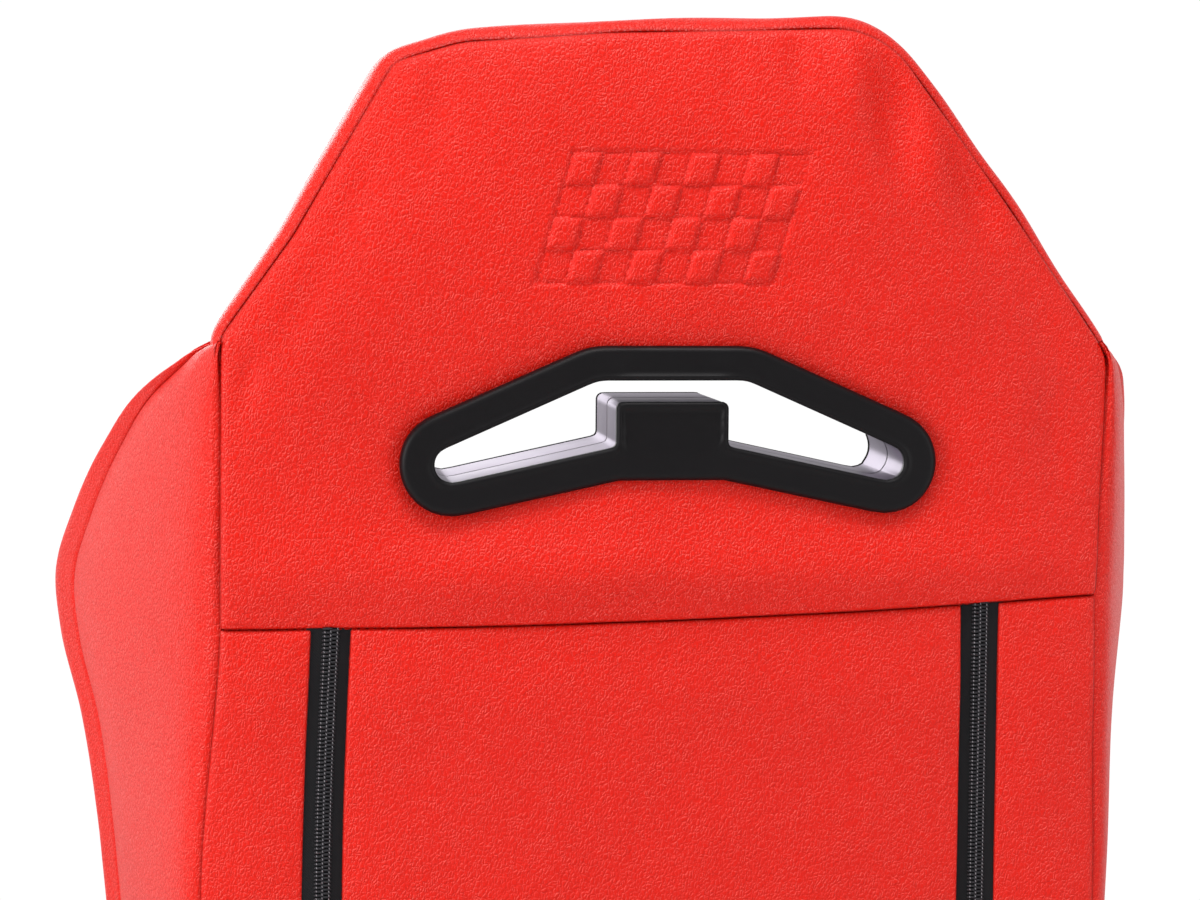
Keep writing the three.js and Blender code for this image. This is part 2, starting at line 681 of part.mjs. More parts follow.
const zipInner = ZIP.x - ZIP.tapeWidth / 2 - GAP;
const zipOuter = ZIP.x + ZIP.tapeWidth / 2 + GAP;
const panelTop = BACK.yokeSeam - GAP;
const bezelPocket = upright(slotOutline(SLOT.band + 1, false), BACK.rear + 20, BACK.rear + 20 - bezelFoot + GAP);
const yoke = cut(rearPanel(backOutline(BACK.yokeSeam, -GAP)), bezelPocket, slotCut(SLOT.sleeve + GAP, true));
piece(back, "rear_yoke_panel", yoke, redLeather);
piece(back, "rear_centre_panel", rearStrip(-zipInner, zipInner, BACK.lowerEdge, panelTop), redLeather);
pair(back, "rear_side_panel", rearStrip(zipOuter, BACK.seamHalf - GAP, BACK.lowerEdge, panelTop), redLeather);

// ------------------------------------------------------------------ zips

const tapeFace = rearSurface(ZIP.x) - ZIP.sunk;
const chainFace = tapeFace + ZIP.chain;

function zipTape() {
  const half = ZIP.tapeWidth / 2;
  const chain = ZIP.chainWidth / 2;
  const profile = bothSides([[half, -ZIP.tape], [half, 0], [chain, 0], [chain, ZIP.chain]]).map(
    ([x, y]) => new THREE.Vector2(x + ZIP.x, y + tapeFace),
  );
  return extruded(profile, panelTop - BACK.lowerEdge).translate(0, 0, BACK.lowerEdge);
}

/** The slider rides on the chain, with a bridge that holds the pull. */
function zipSlider() {
  const { width, length, height, rest } = ZIP_SLIDER;
  const foot = chainFace + GAP;
  const body = boxCorners(-width / 2, rest - length / 2, width / 2, rest + length / 2, 3);
  const plate = upright(rounded(body), foot + height / 2, height / 2);
  const bridge = sideways(
    rounded(boxCorners(foot, rest - 5, foot + height + 1.4, rest + 5, 1)), -1.6, 3.2,
    [circle(foot + height - 0.6, rest, ZIP_PULL.thickness / 2 + 0.5, 8)],
  );
  return join(plate, bridge).translate(ZIP.x, 0, 0);
}

/** The pull hangs from a crossbar that passes through the bridge. Drawn from its own hinge, hanging down. */
function zipPull() {
  const { width, length, thickness, hole } = ZIP_PULL;
  const outline = rounded(boxCorners(-width / 2, -length, width / 2, thickness / 2, 2));
  const window = rounded(boxCorners(-width / 2 + hole, -hole * 3.4, width / 2 - hole, -thickness / 2, 0.8));
  return upright(outline, thickness / 2, thickness, [window]);
}

pair(back, "zip_tape", zipTape(), zipFabric);
pair(back, "zip_slider", zipSlider(), zipMetal);
const pullHinge = { y: chainFace + GAP + ZIP_SLIDER.height - 0.6, z: ZIP_SLIDER.rest };
for (const [name, side] of [["left", 1], ["right", -1]]) {
  const pull = piece(back, `zip_pull_${name}`, zipPull(), zipMetal);
  pull.position.set(side * ZIP.x, pullHinge.y, pullHinge.z);
  pull.rotation.x = RECLINE; // it hangs plumb
}

// ------------------------------------------------------------------ front foams and covers

const insertRear = BACK.frameFront - 2;
const wingLevels = [62, 90, 120, 160, 200, 260, 320, 360, 400, 420, 440, 460, 484, 505, 530, 555, 580, 598];
const wingTop = wingLevels.at(-1);
const headLevels = [
  440, 460, 484, 505, 550, wingTop + 1, wingTop + 5, wingTop + 8, 630, 670, 705,
  BACK.top - 27, BACK.top - 12, BACK.top - 4, BACK.top + BACK.gusset,
];

/** Where the inner faces of the wings lie at a height. */
function wingInner(height) {
  return mix(LUMBAR.half + 2, BACK.seamHalf + 0.4, smoothstep(height, WING_SPLAY.from, WING_SPLAY.to));
}

const headEdge = backOutline(BACK.shoulder - 30, BACK.gusset)
  .filter((p) => p.x > 0)
  .map((p) => [p.y, p.x])
  .sort(([a], [b]) => a - b);

/** Half the head part's width at a height. */
function headHalf(height) {
  return height <= wingTop + 1 ? wingInner(height) - 2 * GAP : along(headEdge, height);
}

/** The head part's section: flat round the slot, coming forward at its sides. */
function headSection(height, rear) {
  const half = headHalf(height);
  const fades = 1 - 0.7 * smoothstep(height, ...HEAD.wingFades);
  const wing = HEAD.wing * smoothstep(height, ...HEAD.wingGrows) * fades;
  const above = smoothstep(height, BACK.top - 20, BACK.top) * HEAD.topRound;
  const front = mix(LUMBAR.front, BACK.front, smoothstep(height, WING_SPLAY.from, SLOT.height - 40)) + above;
  const flat = HEAD.flat * half;
  const points = bothSides([
    [flat / 2, front], [flat, front], [mix(flat, half, 0.5), front - 0.45 * wing], [half - 10, front - wing],
    [half, front - wing + 10], [half, rear],
  ]);
  return points.map(([x, y]) => new THREE.Vector2(x, y));
}

/** The rear edge of the head cover: short beside the wings, out to the rear seam above them. */
function headRear(height) {
  return height <= wingTop + 5 ? insertRear : rearSurface(headHalf(height)) - 1;
}

/** The height whose section lies a distance under the cover's slanting and upper sides at a height. */
function under(height, distance) {
  return height > BACK.shoulder ? height + distance : height;
}

const slotWay = slotCut(SLOT.sleeve + GAP, true);
const headOpen = [5, 6]; // the section's rear corners
function headCover() {
  const outside = drawn(headLevels, (height) => headSection(height, headRear(height)));
  const hollow = drawn(shortened(headLevels, COVER), (height) =>
    hollowed(headSection(under(height, COVER), headRear(height)), headOpen, 0, 3 * COVER),
  );
  return cut(outside, hollow, slotWay);
}

function headFoam() {
  const depth = COVER + 5 * GAP;
  const levels = headLevels.slice(0, -1); // it stops short of the cover's top
  const foam = drawn(shortened(levels, depth), (height) =>
    inset(headSection(under(height, depth), insertRear + depth), depth),
  );
  return cut(foam, slotWay);
}

piece(back, "head_cover", headCover(), redLeather);
piece(back, "head_foam", headFoam(), paddingFoam);

/** The side view of the lower front padding: a lumbar bulge above a roll round the recliner axis. */
function lumbarOutline(setBack, rear) {
  const { front, bulge, height, spread, roll, top } = LUMBAR;
  const surface = (z) => front - bulge * Math.exp(-(((z - height) / spread) ** 2)) + setBack;
  const heights = [top, 380, 320, 270, 225, 175, 130, 90, 60];
  const radius = roll - setBack;
  const corner = Math.asin(rear / radius);
  const turn = Math.PI + degToRad(-38);
  const arc = Array.from({ length: 13 }, (_, i) => {
    const angle = mix(turn, 1.5 * Math.PI + corner, i / 12);
    return new THREE.Vector2(radius * Math.cos(angle), radius * Math.sin(angle));
  });
  return [...heights.map((z) => new THREE.Vector2(surface(z), z)), ...arc, new THREE.Vector2(rear, top)];
}

const insertAll = sideways(lumbarOutline(0, insertRear), -LUMBAR.half, 2 * LUMBAR.half);
const insertPadding = sideways(lumbarOutline(COVER + 2 * GAP, insertRear), -LUMBAR.half, 2 * LUMBAR.half);
const insertHollow = sideways(lumbarOutline(COVER, insertRear + 20), -LUMBAR.half - 5, 2 * LUMBAR.half + 10);
const shaftWay = roundBar(shaftHole + 3, -LUMBAR.half - 5, LUMBAR.half + 5, 0, 0);
piece(back, "back_insert_foam", cut(insertPadding, shaftWay), paddingFoam);
piece(back, "back_insert_cover", cut(insertAll, insertHollow), redLeather);

/** A wing's section: from the rear seam in to the frame, round the insert's edge, the front edge and back outside. */
function wingSection(height) {
  const flare = along(WING.map((w) => [w.height, w.flare]), height);
  const depth = along(WING.map((w) => [w.height, w.depth]), height);
  const splay = smoothstep(height, WING_SPLAY.from, WING_SPLAY.to);
  const inner = wingInner(height);
  const seam = BACK.seamHalf + 1.5;
  const rear = rearSurface(BACK.seamHalf);
  const tip = rear - depth;
  const outer = seam + flare;
  const edge = mix(WING_TIP, Math.min(WING_TIP, 0.7 * flare), splay);
  const side = (share, back) => [mix(seam, outer, share), rear - back * depth];
  const points = [
    [seam, rear],
    [BACK.seamHalf + 0.4, rear - 1.5],
    [BACK.seamHalf + 0.4, mix(insertRear, rear - 0.2 * depth, splay)],
    [inner, mix(insertRear, rear - 0.4 * depth, splay)],
    [inner, mix(LUMBAR.front + 3, rear - 0.66 * depth, splay)],
    [mix(inner + 16, outer - edge, splay), mix(LUMBAR.front - 12, tip + 0.16 * depth, splay)],
    [outer - edge, tip - 6],
    [outer - 0.55 * edge, tip - 14],
    [outer - 0.2 * edge, tip - 9],
    [outer, tip + 8],
    side(0.7, 0.64),
    side(0.34, 0.26),
  ];
  return points.map(([x, y]) => new THREE.Vector2(x, y));
}

/** The padded part of a wing's section, in front of the frame. */
function wingCore(height) {
  const section = wingSection(height);
  const [first, last] = [section[3], section[11]];
  const splay = smoothstep(height, WING_SPLAY.from, WING_SPLAY.to);
  const corner = new THREE.Vector2(mix(BACK.seamHalf - 5, last.x, splay), Math.min(first.y, last.y - COVER));
  return [...section.slice(3, 11), corner];
}

/** The hollow under a wing's cover: open at the rear beside the insert, closed where the wing stands outside the head. */
function wingHollow(height) {
  const open = 1 - smoothstep(height, WING_SPLAY.from, WING_SPLAY.to);
  return hollowed(wingCore(height), [0, 8], 0, open * 3 * COVER);
}

function wingCover() {
  return cut(drawn(wingLevels, wingSection), drawn(shortened(wingLevels, COVER), wingHollow));
}

function wingFoam() {
  const under = COVER + GAP;
  return drawn(shortened(wingLevels, under + GAP), (height) => inset(wingCore(height), under));
}

pair(back, "back_bolster_cover", wingCover(), redLeather);
pair(back, "back_bolster_foam", wingFoam(), paddingFoam);

// ------------------------------------------------------------------ origin

seat.updateMatrixWorld(true);
const box = new THREE.Box3().setFromObject(seat);
seat.position.y = -(box.min.y + box.max.y) / 2;

export default seat;
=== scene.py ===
"""Reclining sports seat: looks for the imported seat, with covers, slot trim, zips, cushion and steelwork."""

import json
import math

import bpy
import numpy as np
from bpy.props import FloatProperty, FloatVectorProperty, PointerProperty
from mathutils import Matrix, Vector


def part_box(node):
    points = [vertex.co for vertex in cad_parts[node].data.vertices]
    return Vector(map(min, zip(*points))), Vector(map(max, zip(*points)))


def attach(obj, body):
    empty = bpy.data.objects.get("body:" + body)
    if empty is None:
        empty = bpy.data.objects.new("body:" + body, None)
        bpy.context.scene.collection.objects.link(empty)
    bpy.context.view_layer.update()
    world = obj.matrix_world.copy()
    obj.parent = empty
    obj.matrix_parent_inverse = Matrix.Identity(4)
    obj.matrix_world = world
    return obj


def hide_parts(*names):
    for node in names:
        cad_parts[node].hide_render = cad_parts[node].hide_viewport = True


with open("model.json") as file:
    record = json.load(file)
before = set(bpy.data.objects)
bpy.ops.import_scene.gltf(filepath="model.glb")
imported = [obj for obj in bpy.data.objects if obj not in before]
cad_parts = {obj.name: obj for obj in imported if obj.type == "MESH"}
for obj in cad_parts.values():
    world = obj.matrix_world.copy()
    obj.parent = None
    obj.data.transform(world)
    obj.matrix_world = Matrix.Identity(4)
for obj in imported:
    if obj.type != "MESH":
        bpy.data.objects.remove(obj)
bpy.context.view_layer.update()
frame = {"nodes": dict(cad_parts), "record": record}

bl_info = {
    "name": "Reclining sports seat",
    "version": (1, 0, 0),
    "blender": (4, 5, 0),
    "location": "3D View > Sidebar > Seat",
    "description": "Sewn covers, slot trim, zips and steelwork round a packed sports seat",
    "category": "Object",
}

JOINTS = {joint["name"]: joint for joint in frame["record"]["behaviour"]["joints"]}
PIVOT = np.array(JOINTS["backrest_recline"]["pos_m"])
UP_THE_BACK = JOINTS["zip_run_left"]["axis"]
RECLINE = math.atan2(UP_THE_BACK[1], UP_THE_BACK[2])
BASE_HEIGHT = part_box("side_member_left")[0][2]
MM = 0.001
FULL_TURN = 6.283  # radians

# ---------------------------------------- sizes shared by several pieces, in millimetres
# The backrest's own frame: x to the sitter's left, y to the rear, z up from the recliner axis.

SIDES = (("left", 1), ("right", -1))
SEAM_HALF = 217.0  # half the width between the rear seams
SHOULDER = 611.0  # where the head part starts to narrow
TOP = 760.0
YOKE_SEAM = 472.0  # the seam under the head part, at its lowest
HEM = 62.0  # the covers' lower edge
REAR = 60.0  # the rear surface in the middle of the back
CROWN = 8.0  # how far it falls from there to the rear seams
CROWN_AT_TOP = 14.0  # how far the head part would fall forward at its full ease
EDGE_FALL = 5.0  # how far its edges fall above the shoulders
FRONT = -15.0  # the head part's front surface round the slot
LEATHER = 1.6  # a cover's thickness
FAR = 20.0  # the largest distance to a seam that a cover records
INSERT_HALF = 156.0
INSERT_TOP = 439.0
INSERT_ROLL = 45.0  # the radius of the insert's roll about the recliner axis
INSERT_STEP = 1.6  # between the rows of the insert's grid
SEWN_RUN = 395  # how far the channels go down the insert
HEAD_WING = 34.0  # how far the head part's sides come forward
ZIP_HALF_OPENING = 9.3  # half the gap between the covers at a zip
ZIP_X = {1: 162.7, -1: -154.8}
ZIP_BOW = {1: 4.8, -1: 0.0}
COIL_PITCH = 1.9  # between two turns of a zip's coil
ROOF_RISE = 3.4  # how much higher the slot's roof is at its front
BEZEL_BAND = 16.5  # the width of a bezel's face

# The harness slot. Its own height is that of its round ends' centres, from which the other heights are taken.
SLOT = {
    "height": 551.0, "end_centre": 105.5, "end_radius": 8.5, "top_half": 36.0, "top": 40.0,
    "tab_half": 27.2, "base": 8.3, "tab_top": 29.8, "tab_corner": 3.4, "tab_root": 3.0, "floor_corner": 14,
    "roof_corner": 22,
}
SLOT_REAR = 57.0  # the surface that the rear bezel stands on
SLOT_DEPTH = 72.0  # from there to the front

# A wing's height above the axis, its reach to the side and its depth to the front.
WING_TABLE = np.array([
    (62, 20, 94), (120, 26, 120), (200, 36, 150), (320, 50, 180), (345, 53, 182), (375, 59, 190),
    (400, 66, 200), (440, 82, 230), (470, 87.5, 236), (510, 76, 204), (550, 57, 152), (580, 37, 96),
    (596, 20, 52), (603, 12, 36), (607, 5, 20), (609, 0.8, 8),
])
WING_TOP = 609.0
WING_SHARE = {1: 1.0, -1: 0.96}  # of the reach to the side
WING_TIP = 44.0  # the thickness of a wing's front
WING_ROLL = 2.4  # how deep its covers roll into a seam
SPLAY = (440.0, 505.0)  # between these heights the wing leaves the insert and closes against the rear seam
RIDGE = 4  # the control point of a section where the side panel is sewn to the bolster
LAST_CONTROL = 10  # the control point at the inner end of a section

# The cushion's outline from rear to front: y, the height of its middle and the height of its bolsters.
CUSHION_TRACK = np.array([
    (104, 112, 112), (98, 146, 148), (80, 157, 166), (40, 163, 214), (-20, 169, 242),
    (-110, 180, 246), (-190, 187, 244), (-265, 187, 226), (-310, 180, 204), (-332, 169, 184),
    (-345, 152, 160), (-350, 128, 132), (-349, 104, 105), (-345, 89, 89),
], float)
CUSHION_BOTTOM = 86.0
CUSHION_HALF = 249.0
CUSHION_FORWARD = 0.165  # metres from the recliner axis forward to the cushion's own origin


# ---------------------------------------- arithmetic on arrays

def mix(a, b, t):
    """The value at a share t of the way from a to b."""
    return a + (b - a) * t


def ease(value, low, high):
    """A smooth step: 0 below low, 1 above high, three t squared less two t cubed between."""
    t = np.clip((value - low) / (high - low), 0.0, 1.0)
    return t * t * (3 - 2 * t)


def bump(value, centre, spread):
    """A bell curve of height 1: e to the minus square of the distance from its centre in spreads."""
    return np.exp(-(((value - centre) / spread) ** 2))


def rolled(distance, radius, depth):
    """How far a cover has fallen at a distance from its seam.

    A quarter of an ellipse: depth at the seam, 0 at radius and beyond.
    """
    t = 1 - np.clip(distance / radius, 0.0, 1.0)
    return depth * (1 - np.sqrt(np.clip(1 - t * t, 0.0, 1.0)))


def spaced(*stretches):
    """Values through stretches of (start, step), the last entry being the end."""
    values = []
    for (start, step), after in zip(stretches[:-1], stretches[1:]):
        end = after[0] if isinstance(after, tuple) else after
        count = max(1, int(round((end - start) / step)))
        values.append(np.linspace(start, end, count, endpoint=False))
    return np.append(np.concatenate(values), stretches[-1])


def curve_through(places, values, at):
    """A smooth curve through (place, value) pairs: cubic pieces whose slopes are the values' gradient."""
    places, values = np.asarray(places, float), np.asarray(values, float)
    slopes = np.gradient(values, places)
    at = np.clip(at, places[0], places[-1])
    i = np.clip(np.searchsorted(places, at) - 1, 0, len(places) - 2)
    width = places[i + 1] - places[i]
    t = (at - places[i]) / width
    return (
        values[i] * (1 + 2 * t) * (1 - t) ** 2 + slopes[i] * width * t * (1 - t) ** 2
        + values[i + 1] * t * t * (3 - 2 * t) + slopes[i + 1] * width * t * t * (t - 1)
    )


def spline(control, samples):
    """Points on a Catmull-Rom curve through n control points, along the last axis but one.

    The samples are parameters from 0 to n - 1, and each whole number is a control point.
    """
    control = np.asarray(control, float)
    n = control.shape[-2]
    i = np.clip(samples.astype(int), 0, n - 2)
    t = (samples - i)[:, None]
    before = control[..., np.clip(i - 1, 0, n - 1), :]
    start = control[..., i, :]
    end = control[..., i + 1, :]
    after = control[..., np.clip(i + 2, 0, n - 1), :]
    return 0.5 * (
        2 * start + (end - before) * t
        + (2 * before - 5 * start + 4 * end - after) * t ** 2
        + (3 * start - before - 3 * end + after) * t ** 3
    )


def smoothed(points, passes=1):
    """Each point moved half way to the mean of its neighbours along the first axis, the ends held."""
    points = points.copy()
    for _ in range(passes):
        points[1:-1] = 0.5 * points[1:-1] + 0.25 * (points[:-2] + points[2:])
    return points


def distance_to(points, outline, closed=True):
    """The distance of points (n, 2) to a line of straight stretches (m, 2), in blocks to save memory."""
    ends = np.roll(outline, -1, 0) if closed else outline[1:]
    starts = outline if closed else outline[:-1]
    along = ends - starts
    length = np.maximum((along ** 2).sum(1), 1e-12)
    nearest = []
    for block in np.array_split(points, max(1, len(points) // 8000)):
        offset = block[:, None] - starts
        t = np.clip((offset * along).sum(2) / length, 0, 1)
        nearest.append(np.sqrt(((offset - t[..., None] * along) ** 2).sum(2).min(1)))
    return np.concatenate(nearest)


def is_inside(points, outline):
    """Whether points (n, 2) lie inside a closed outline: going along x crosses an odd number of its sides."""
    x, y = points[:, :1], points[:, 1:]
    (x0, y0), (x1, y1) = outline.T, np.roll(outline, -1, 0).T
    spans = (y0 <= y) != (y1 <= y)
    crossing = x0 + (y - y0) * (x1 - x0) / np.where(y1 == y0, 1e-9, y1 - y0)
    return ((spans & (x < crossing)).sum(1) % 2).astype(bool)


def lengths_along(line):
    """The length of an open line of straight stretches up to each of its points."""
    return np.concatenate([[0], np.cumsum(np.linalg.norm(np.diff(line, axis=0), axis=1))])


def read_off(values, length, places):
    """The rows of values, known at lengths along a line, read off at other places along it."""
    return np.stack([np.interp(places, length, column) for column in values.T], 1)


def at_shares(line, shares):
    """Points at shares 0 to 1 of a line's length."""
    length = lengths_along(line)
    return read_off(line, length, shares * length[-1])


def resampled(line, step):
    """Evenly spaced points along an open line of straight stretches."""
    length = lengths_along(line)
    return read_off(line, length, np.linspace(0, length[-1], max(2, int(round(length[-1] / step)) + 1)))


def channels(run, height, groove, groove_width):
    """The height of sewn channels along a run in millimetres.

    Over each pitch stands a flat-topped arch, and in each seam between two lies a bell-shaped groove.
    """
    pitch = bpy.context.scene.seat_sizes.channel_pitch / MM
    phase = (run / pitch) % 1
    to_seam = np.minimum(phase, 1 - phase) * pitch
    return height * (1 - np.abs(2 * phase - 1) ** 2.6) - groove * np.exp(-((to_seam / groove_width) ** 2))


# ---------------------------------------- meshes

def on_back(points):
    """Points in the backrest's own millimetres, as metres in the seat's frame.

    They are leant back by the recline angle about the x axis and moved to the pivot.
    """
    points = np.asarray(points, float) * MM
    x, y, z = points[..., 0], points[..., 1], points[..., 2]
    c, s = math.cos(RECLINE), math.sin(RECLINE)
    return np.stack([x, y * c + z * s, z * c - y * s], -1) + PIVOT


def turned(directions):
    """Directions in the backrest's own frame, leant back as it is."""
    return on_back(np.asarray(directions, float) / MM) - PIVOT


def on_base(points):
    """Points in millimetres above the upper rails, as metres in the seat's frame."""
    return np.asarray(points, float) * MM + np.array([0, PIVOT[1] - CUSHION_FORWARD, BASE_HEIGHT])


def grid_faces(rows, columns, closed_rows=False, closed_columns=False):
    """The quads between neighbouring points of a grid, back to the first row or column if closed."""
    i, j = np.meshgrid(
        np.arange(rows if closed_rows else rows - 1),
        np.arange(columns if closed_columns else columns - 1),
        indexing="ij",
    )
    i2, j2 = (i + 1) % rows, (j + 1) % columns
    corners = [i * columns + j, i * columns + j2, i2 * columns + j2, i2 * columns + j]
    return np.stack(corners, -1).reshape(-1, 4)


def add_mesh(name, points, faces, material, smooth=True):
    """An object in the scene whose mesh has these points (metres), faces and material."""
    mesh = bpy.data.meshes.new(name)
    mesh.from_pydata(points.tolist(), [], faces.tolist())
    mesh.polygons.foreach_set("use_smooth", np.full(len(mesh.polygons), smooth))
    mesh.materials.append(material)
    piece = bpy.data.objects.new(name, mesh)
    bpy.context.scene.collection.objects.link(piece)
    return piece


def make_piece(name, points, faces, material, inside=None, seam=None):
    """A smooth mesh from points (metres) and quads, facing away from an inner point or, if closed, outwards.

    Its "seam" attribute is each point's distance to the nearest seam, in millimetres, from which the leather
    paints shade into its seams.
    """
    points = points.reshape(-1, 3)
    corners = points[faces]
    normals = np.cross(corners[:, 2] - corners[:, 0], corners[:, 3] - corners[:, 1])
    centre = corners.mean(1)
    origin = points.mean(0) if inside is None else np.asarray(inside)
    if (normals * (centre - origin)).sum() < 0:
        faces = faces[:, ::-1]
    piece = add_mesh(name, points, faces, material)
    distance = np.full(len(points), FAR) if seam is None else np.asarray(seam, float).ravel()
    attribute = piece.data.attributes.new("seam", "FLOAT", "POINT")
    attribute.data.foreach_set("value", np.clip(distance, 0, FAR))
    return piece


def thicken(piece, millimetres=LEATHER):
    """Gives a sheet a wall on its inner side."""
    wall = piece.modifiers.new("wall", "SOLIDIFY")
    wall.thickness = millimetres * MM
    wall.offset = -1


def soften(piece, width):
    """Merges a faceted solid's loose triangles and rounds its sharp edges."""
    weld = piece.modifiers.new("merge", "WELD")
    weld.merge_threshold = 1e-6
    bevel = piece.modifiers.new("edges", "BEVEL")
    bevel.width = width
    bevel.segments = 2
    bevel.limit_method = "ANGLE"
    bevel.angle_limit = math.radians(40)


def dress(piece, body, slot, *nodes, fill=None):
    """Hangs a piece under its body's empty and hides the nodes that it stands for. Its finish and its padding
    are not used.
    """
    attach(piece, body)
    if nodes:
        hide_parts(*nodes)
    return piece


def copies_along(name, template, faces, places, tangents, outs, material):
    """One mesh of a small template repeated at each place.

    Its x lies along the tangent, its z along the outward direction and its y across both.
    """
    tangents = tangents / np.linalg.norm(tangents, axis=1, keepdims=True)
    sides = np.cross(outs, tangents)
    sides /= np.linalg.norm(sides, axis=1, keepdims=True)
    outs = np.cross(tangents, sides)
    axes = np.stack([tangents, sides, outs], 1)
    points = places[:, None] + np.einsum("pk,nkc->npc", template, axes)
    every = faces + len(template) * np.arange(len(places))[:, None, None]
    return make_piece(name, points, every.reshape(-1, 4), material)


def bead(length, width, height, rings=4, sides=6):
    """A closed grain along x: rings of an ellipse whose size follows a half sine wave from end to end."""
    t = np.linspace(0, math.pi, rings + 2)
    size = np.maximum(np.sin(t) ** 0.6, 0.02)
    turn = np.arange(sides) * 2 * math.pi / sides
    x = -np.cos(t)[:, None] * length / 2 * np.ones(sides)
    y = size[:, None] * np.cos(turn) * width / 2
    z = size[:, None] * np.sin(turn) * height / 2
    return np.stack([x, y, z], -1).reshape(-1, 3), grid_faces(rings + 2, sides, closed_columns=True)


# ---------------------------------------- outlines

def rounded(corners, steps=14):
    """A closed outline of arcs at its corners (x, z, radius), and the index of each arc's middle."""
    corners = np.asarray(corners, float)
    points, middles = [], []
    for k, (x, z, radius) in enumerate(corners):
        corner = np.array([x, z])
        back = corners[k - 1, :2] - corner
        ahead = corners[(k + 1) % len(corners), :2] - corner
        back /= np.linalg.norm(back)
        ahead /= np.linalg.norm(ahead)
        middles.append(len(points) + steps // 2)
        half = math.acos(np.clip(back @ ahead, -1, 1)) / 2
        if radius == 0 or half > math.pi / 2 - 1e-4:
            reach = np.linspace(1, -1, steps + 1)[:, None] * 0.01
            points.extend(corner + np.where(reach > 0, back * reach, ahead * -reach))
            continue
        inward = (back + ahead) / np.linalg.norm(back + ahead)
        centre = corner + inward * radius / math.sin(half)
        start = corner + back * radius / math.tan(half) - centre
        turn = (math.pi - 2 * half) * np.sign(ahead[0] * back[1] - ahead[1] * back[0])
        angle = np.linspace(0, turn, steps + 1)
        c, s = np.cos(angle), np.sin(angle)
        points.extend(centre + np.stack([c * start[0] - s * start[1], s * start[0] + c * start[1]], 1))
    return np.array(points), middles


def mirrored(half):
    """Corners (x, z, radius) of one side, followed by their mirror images in reverse order."""
    return half + [(-x, z, r) for x, z, r in reversed(half)]


def slot_outline(grown, tab=True, per_side=18):
    """The slot's outline grown by a distance, its slanted sides tangent to its round ends.

    It has the same number of points between its corners with or without the tab.
    """
    s = SLOT
    reach = s["end_centre"] - s["top_half"]
    upper = math.atan2(s["top"], reach) - math.asin(s["end_radius"] / math.hypot(reach, s["top"]))
    reach = s["end_centre"] - s["tab_half"]
    lower = math.atan2(s["base"], reach) + math.asin(s["end_radius"] / math.hypot(reach, s["base"]))
    end = s["end_centre"] + s["end_radius"] + grown
    top_x = s["top_half"] + grown * math.tan(upper / 2)
    low_x = s["tab_half"] - grown * math.tan(lower / 2)
    low, top = s["base"] - grown, s["top"] + grown
    radius = s["end_radius"] + grown
    if tab:
        side = s["tab_half"] - grown
        first = [
            (side, s["tab_top"] - grown, s["tab_corner"]),
            (side, low - (side - low_x) * math.tan(lower), s["tab_root"]),
        ]
    else:
        first = [(low_x / 2, low, 0), (low_x, low, s["floor_corner"])]
    half = first + [
        (end, low - (end - low_x) * math.tan(lower), radius),
        (end, top - (end - top_x) * math.tan(upper), radius),
        (top_x, top, s["roof_corner"] + grown),
    ]
    points, middles = rounded(mirrored(half))
    points[:, 1] += s["height"]
    stretches = []
    for start, stop in zip(middles, middles[1:] + [middles[0] + len(points)]):
        share = (1 - np.cos(np.linspace(0, math.pi, per_side + 1)[:-1])) / 2
        stretches.append(at_shares(points[np.arange(start, stop + 1) % len(points)], share))
    return np.concatenate(stretches)


def roof_raised(outline, y):
    """A slot outline at a depth y: its roof is higher towards the front, its floor and tab stay level.

    The outline has ten corners with as many points between each two. The roof lies between numbers 3 and 6.
    """
    corner = np.arange(len(outline)) * 10 / len(outline)
    share = np.interp(corner, [2, 3, 6, 7], [0, 1, 1, 0])
    forward = np.clip((SLOT_REAR - y) / SLOT_DEPTH, 0, 1)
    return outline + np.stack([0 * share, share * ROOF_RISE * forward], 1)


# The head part's corners (x, z, radius), from its lower left round the top to its lower right.
HEAD_CORNERS = [
    (215.6, 440, 0), (214.5, 611, 12), (180, 659, 110), (132, 742, 12), (100, 751.5, 60), (30, 757, 160),
    (-105, 761.5, 46), (-162, 684, 150), (-219, 603, 24), (-214.4, 478, 60), (-215, 440, 0),
]
HEAD_OUTLINE, HEAD_ARCS = rounded(HEAD_CORNERS, steps=20)


def seam_at(side, height):
    """Where the rear cover meets a wing: the head part's outline, eased outwards below it."""
    height = np.asarray(height, float)
    left = HEAD_OUTLINE[HEAD_ARCS[0]:HEAD_ARCS[3]]
    right = HEAD_OUTLINE[HEAD_ARCS[6]:][::-1]
    left_x = np.interp(height, left[:, 1], left[:, 0]) + 10 * (1 - ease(height, 340, 480))
    right_x = np.interp(height, right[:, 1], right[:, 0]) - 2 * (1 - ease(height, 340, 440))
    return np.where(np.asarray(side) > 0, left_x, right_x)


def yoke_seam_at(x):
    """The seam across the rear cover rises a little towards the sitter's right."""
    return YOKE_SEAM + 12 * ((SEAM_HALF - x) / (2 * SEAM_HALF)) ** 2


def zip_x(side, height):
    """The middle of a zip: straight but for a sideways bow, half a sine wave between two heights."""
    return ZIP_X[side] + ZIP_BOW[side] * np.sin(math.pi * np.clip((475 - height) / 300, 0, 1))


def beside_zip(side, direction):
    """The cover's edge to one side of a zip, as a function of height."""
    return lambda height: zip_x(side, height) + direction * ZIP_HALF_OPENING


def at_wing(side):
    """The cover's seam to a wing, as a function of height."""
    return lambda height: seam_at(side, height)


def half_width(height):
    """The head part's half width at a height, read off its left side."""
    line = HEAD_OUTLINE[HEAD_ARCS[0]:HEAD_ARCS[3]]
    return np.interp(height, line[:, 1], line[:, 0])


def rear_surface(x):
    """The rear cover's crown: a parabola across the back, highest in its middle."""
    return REAR - CROWN * (x / SEAM_HALF) ** 2


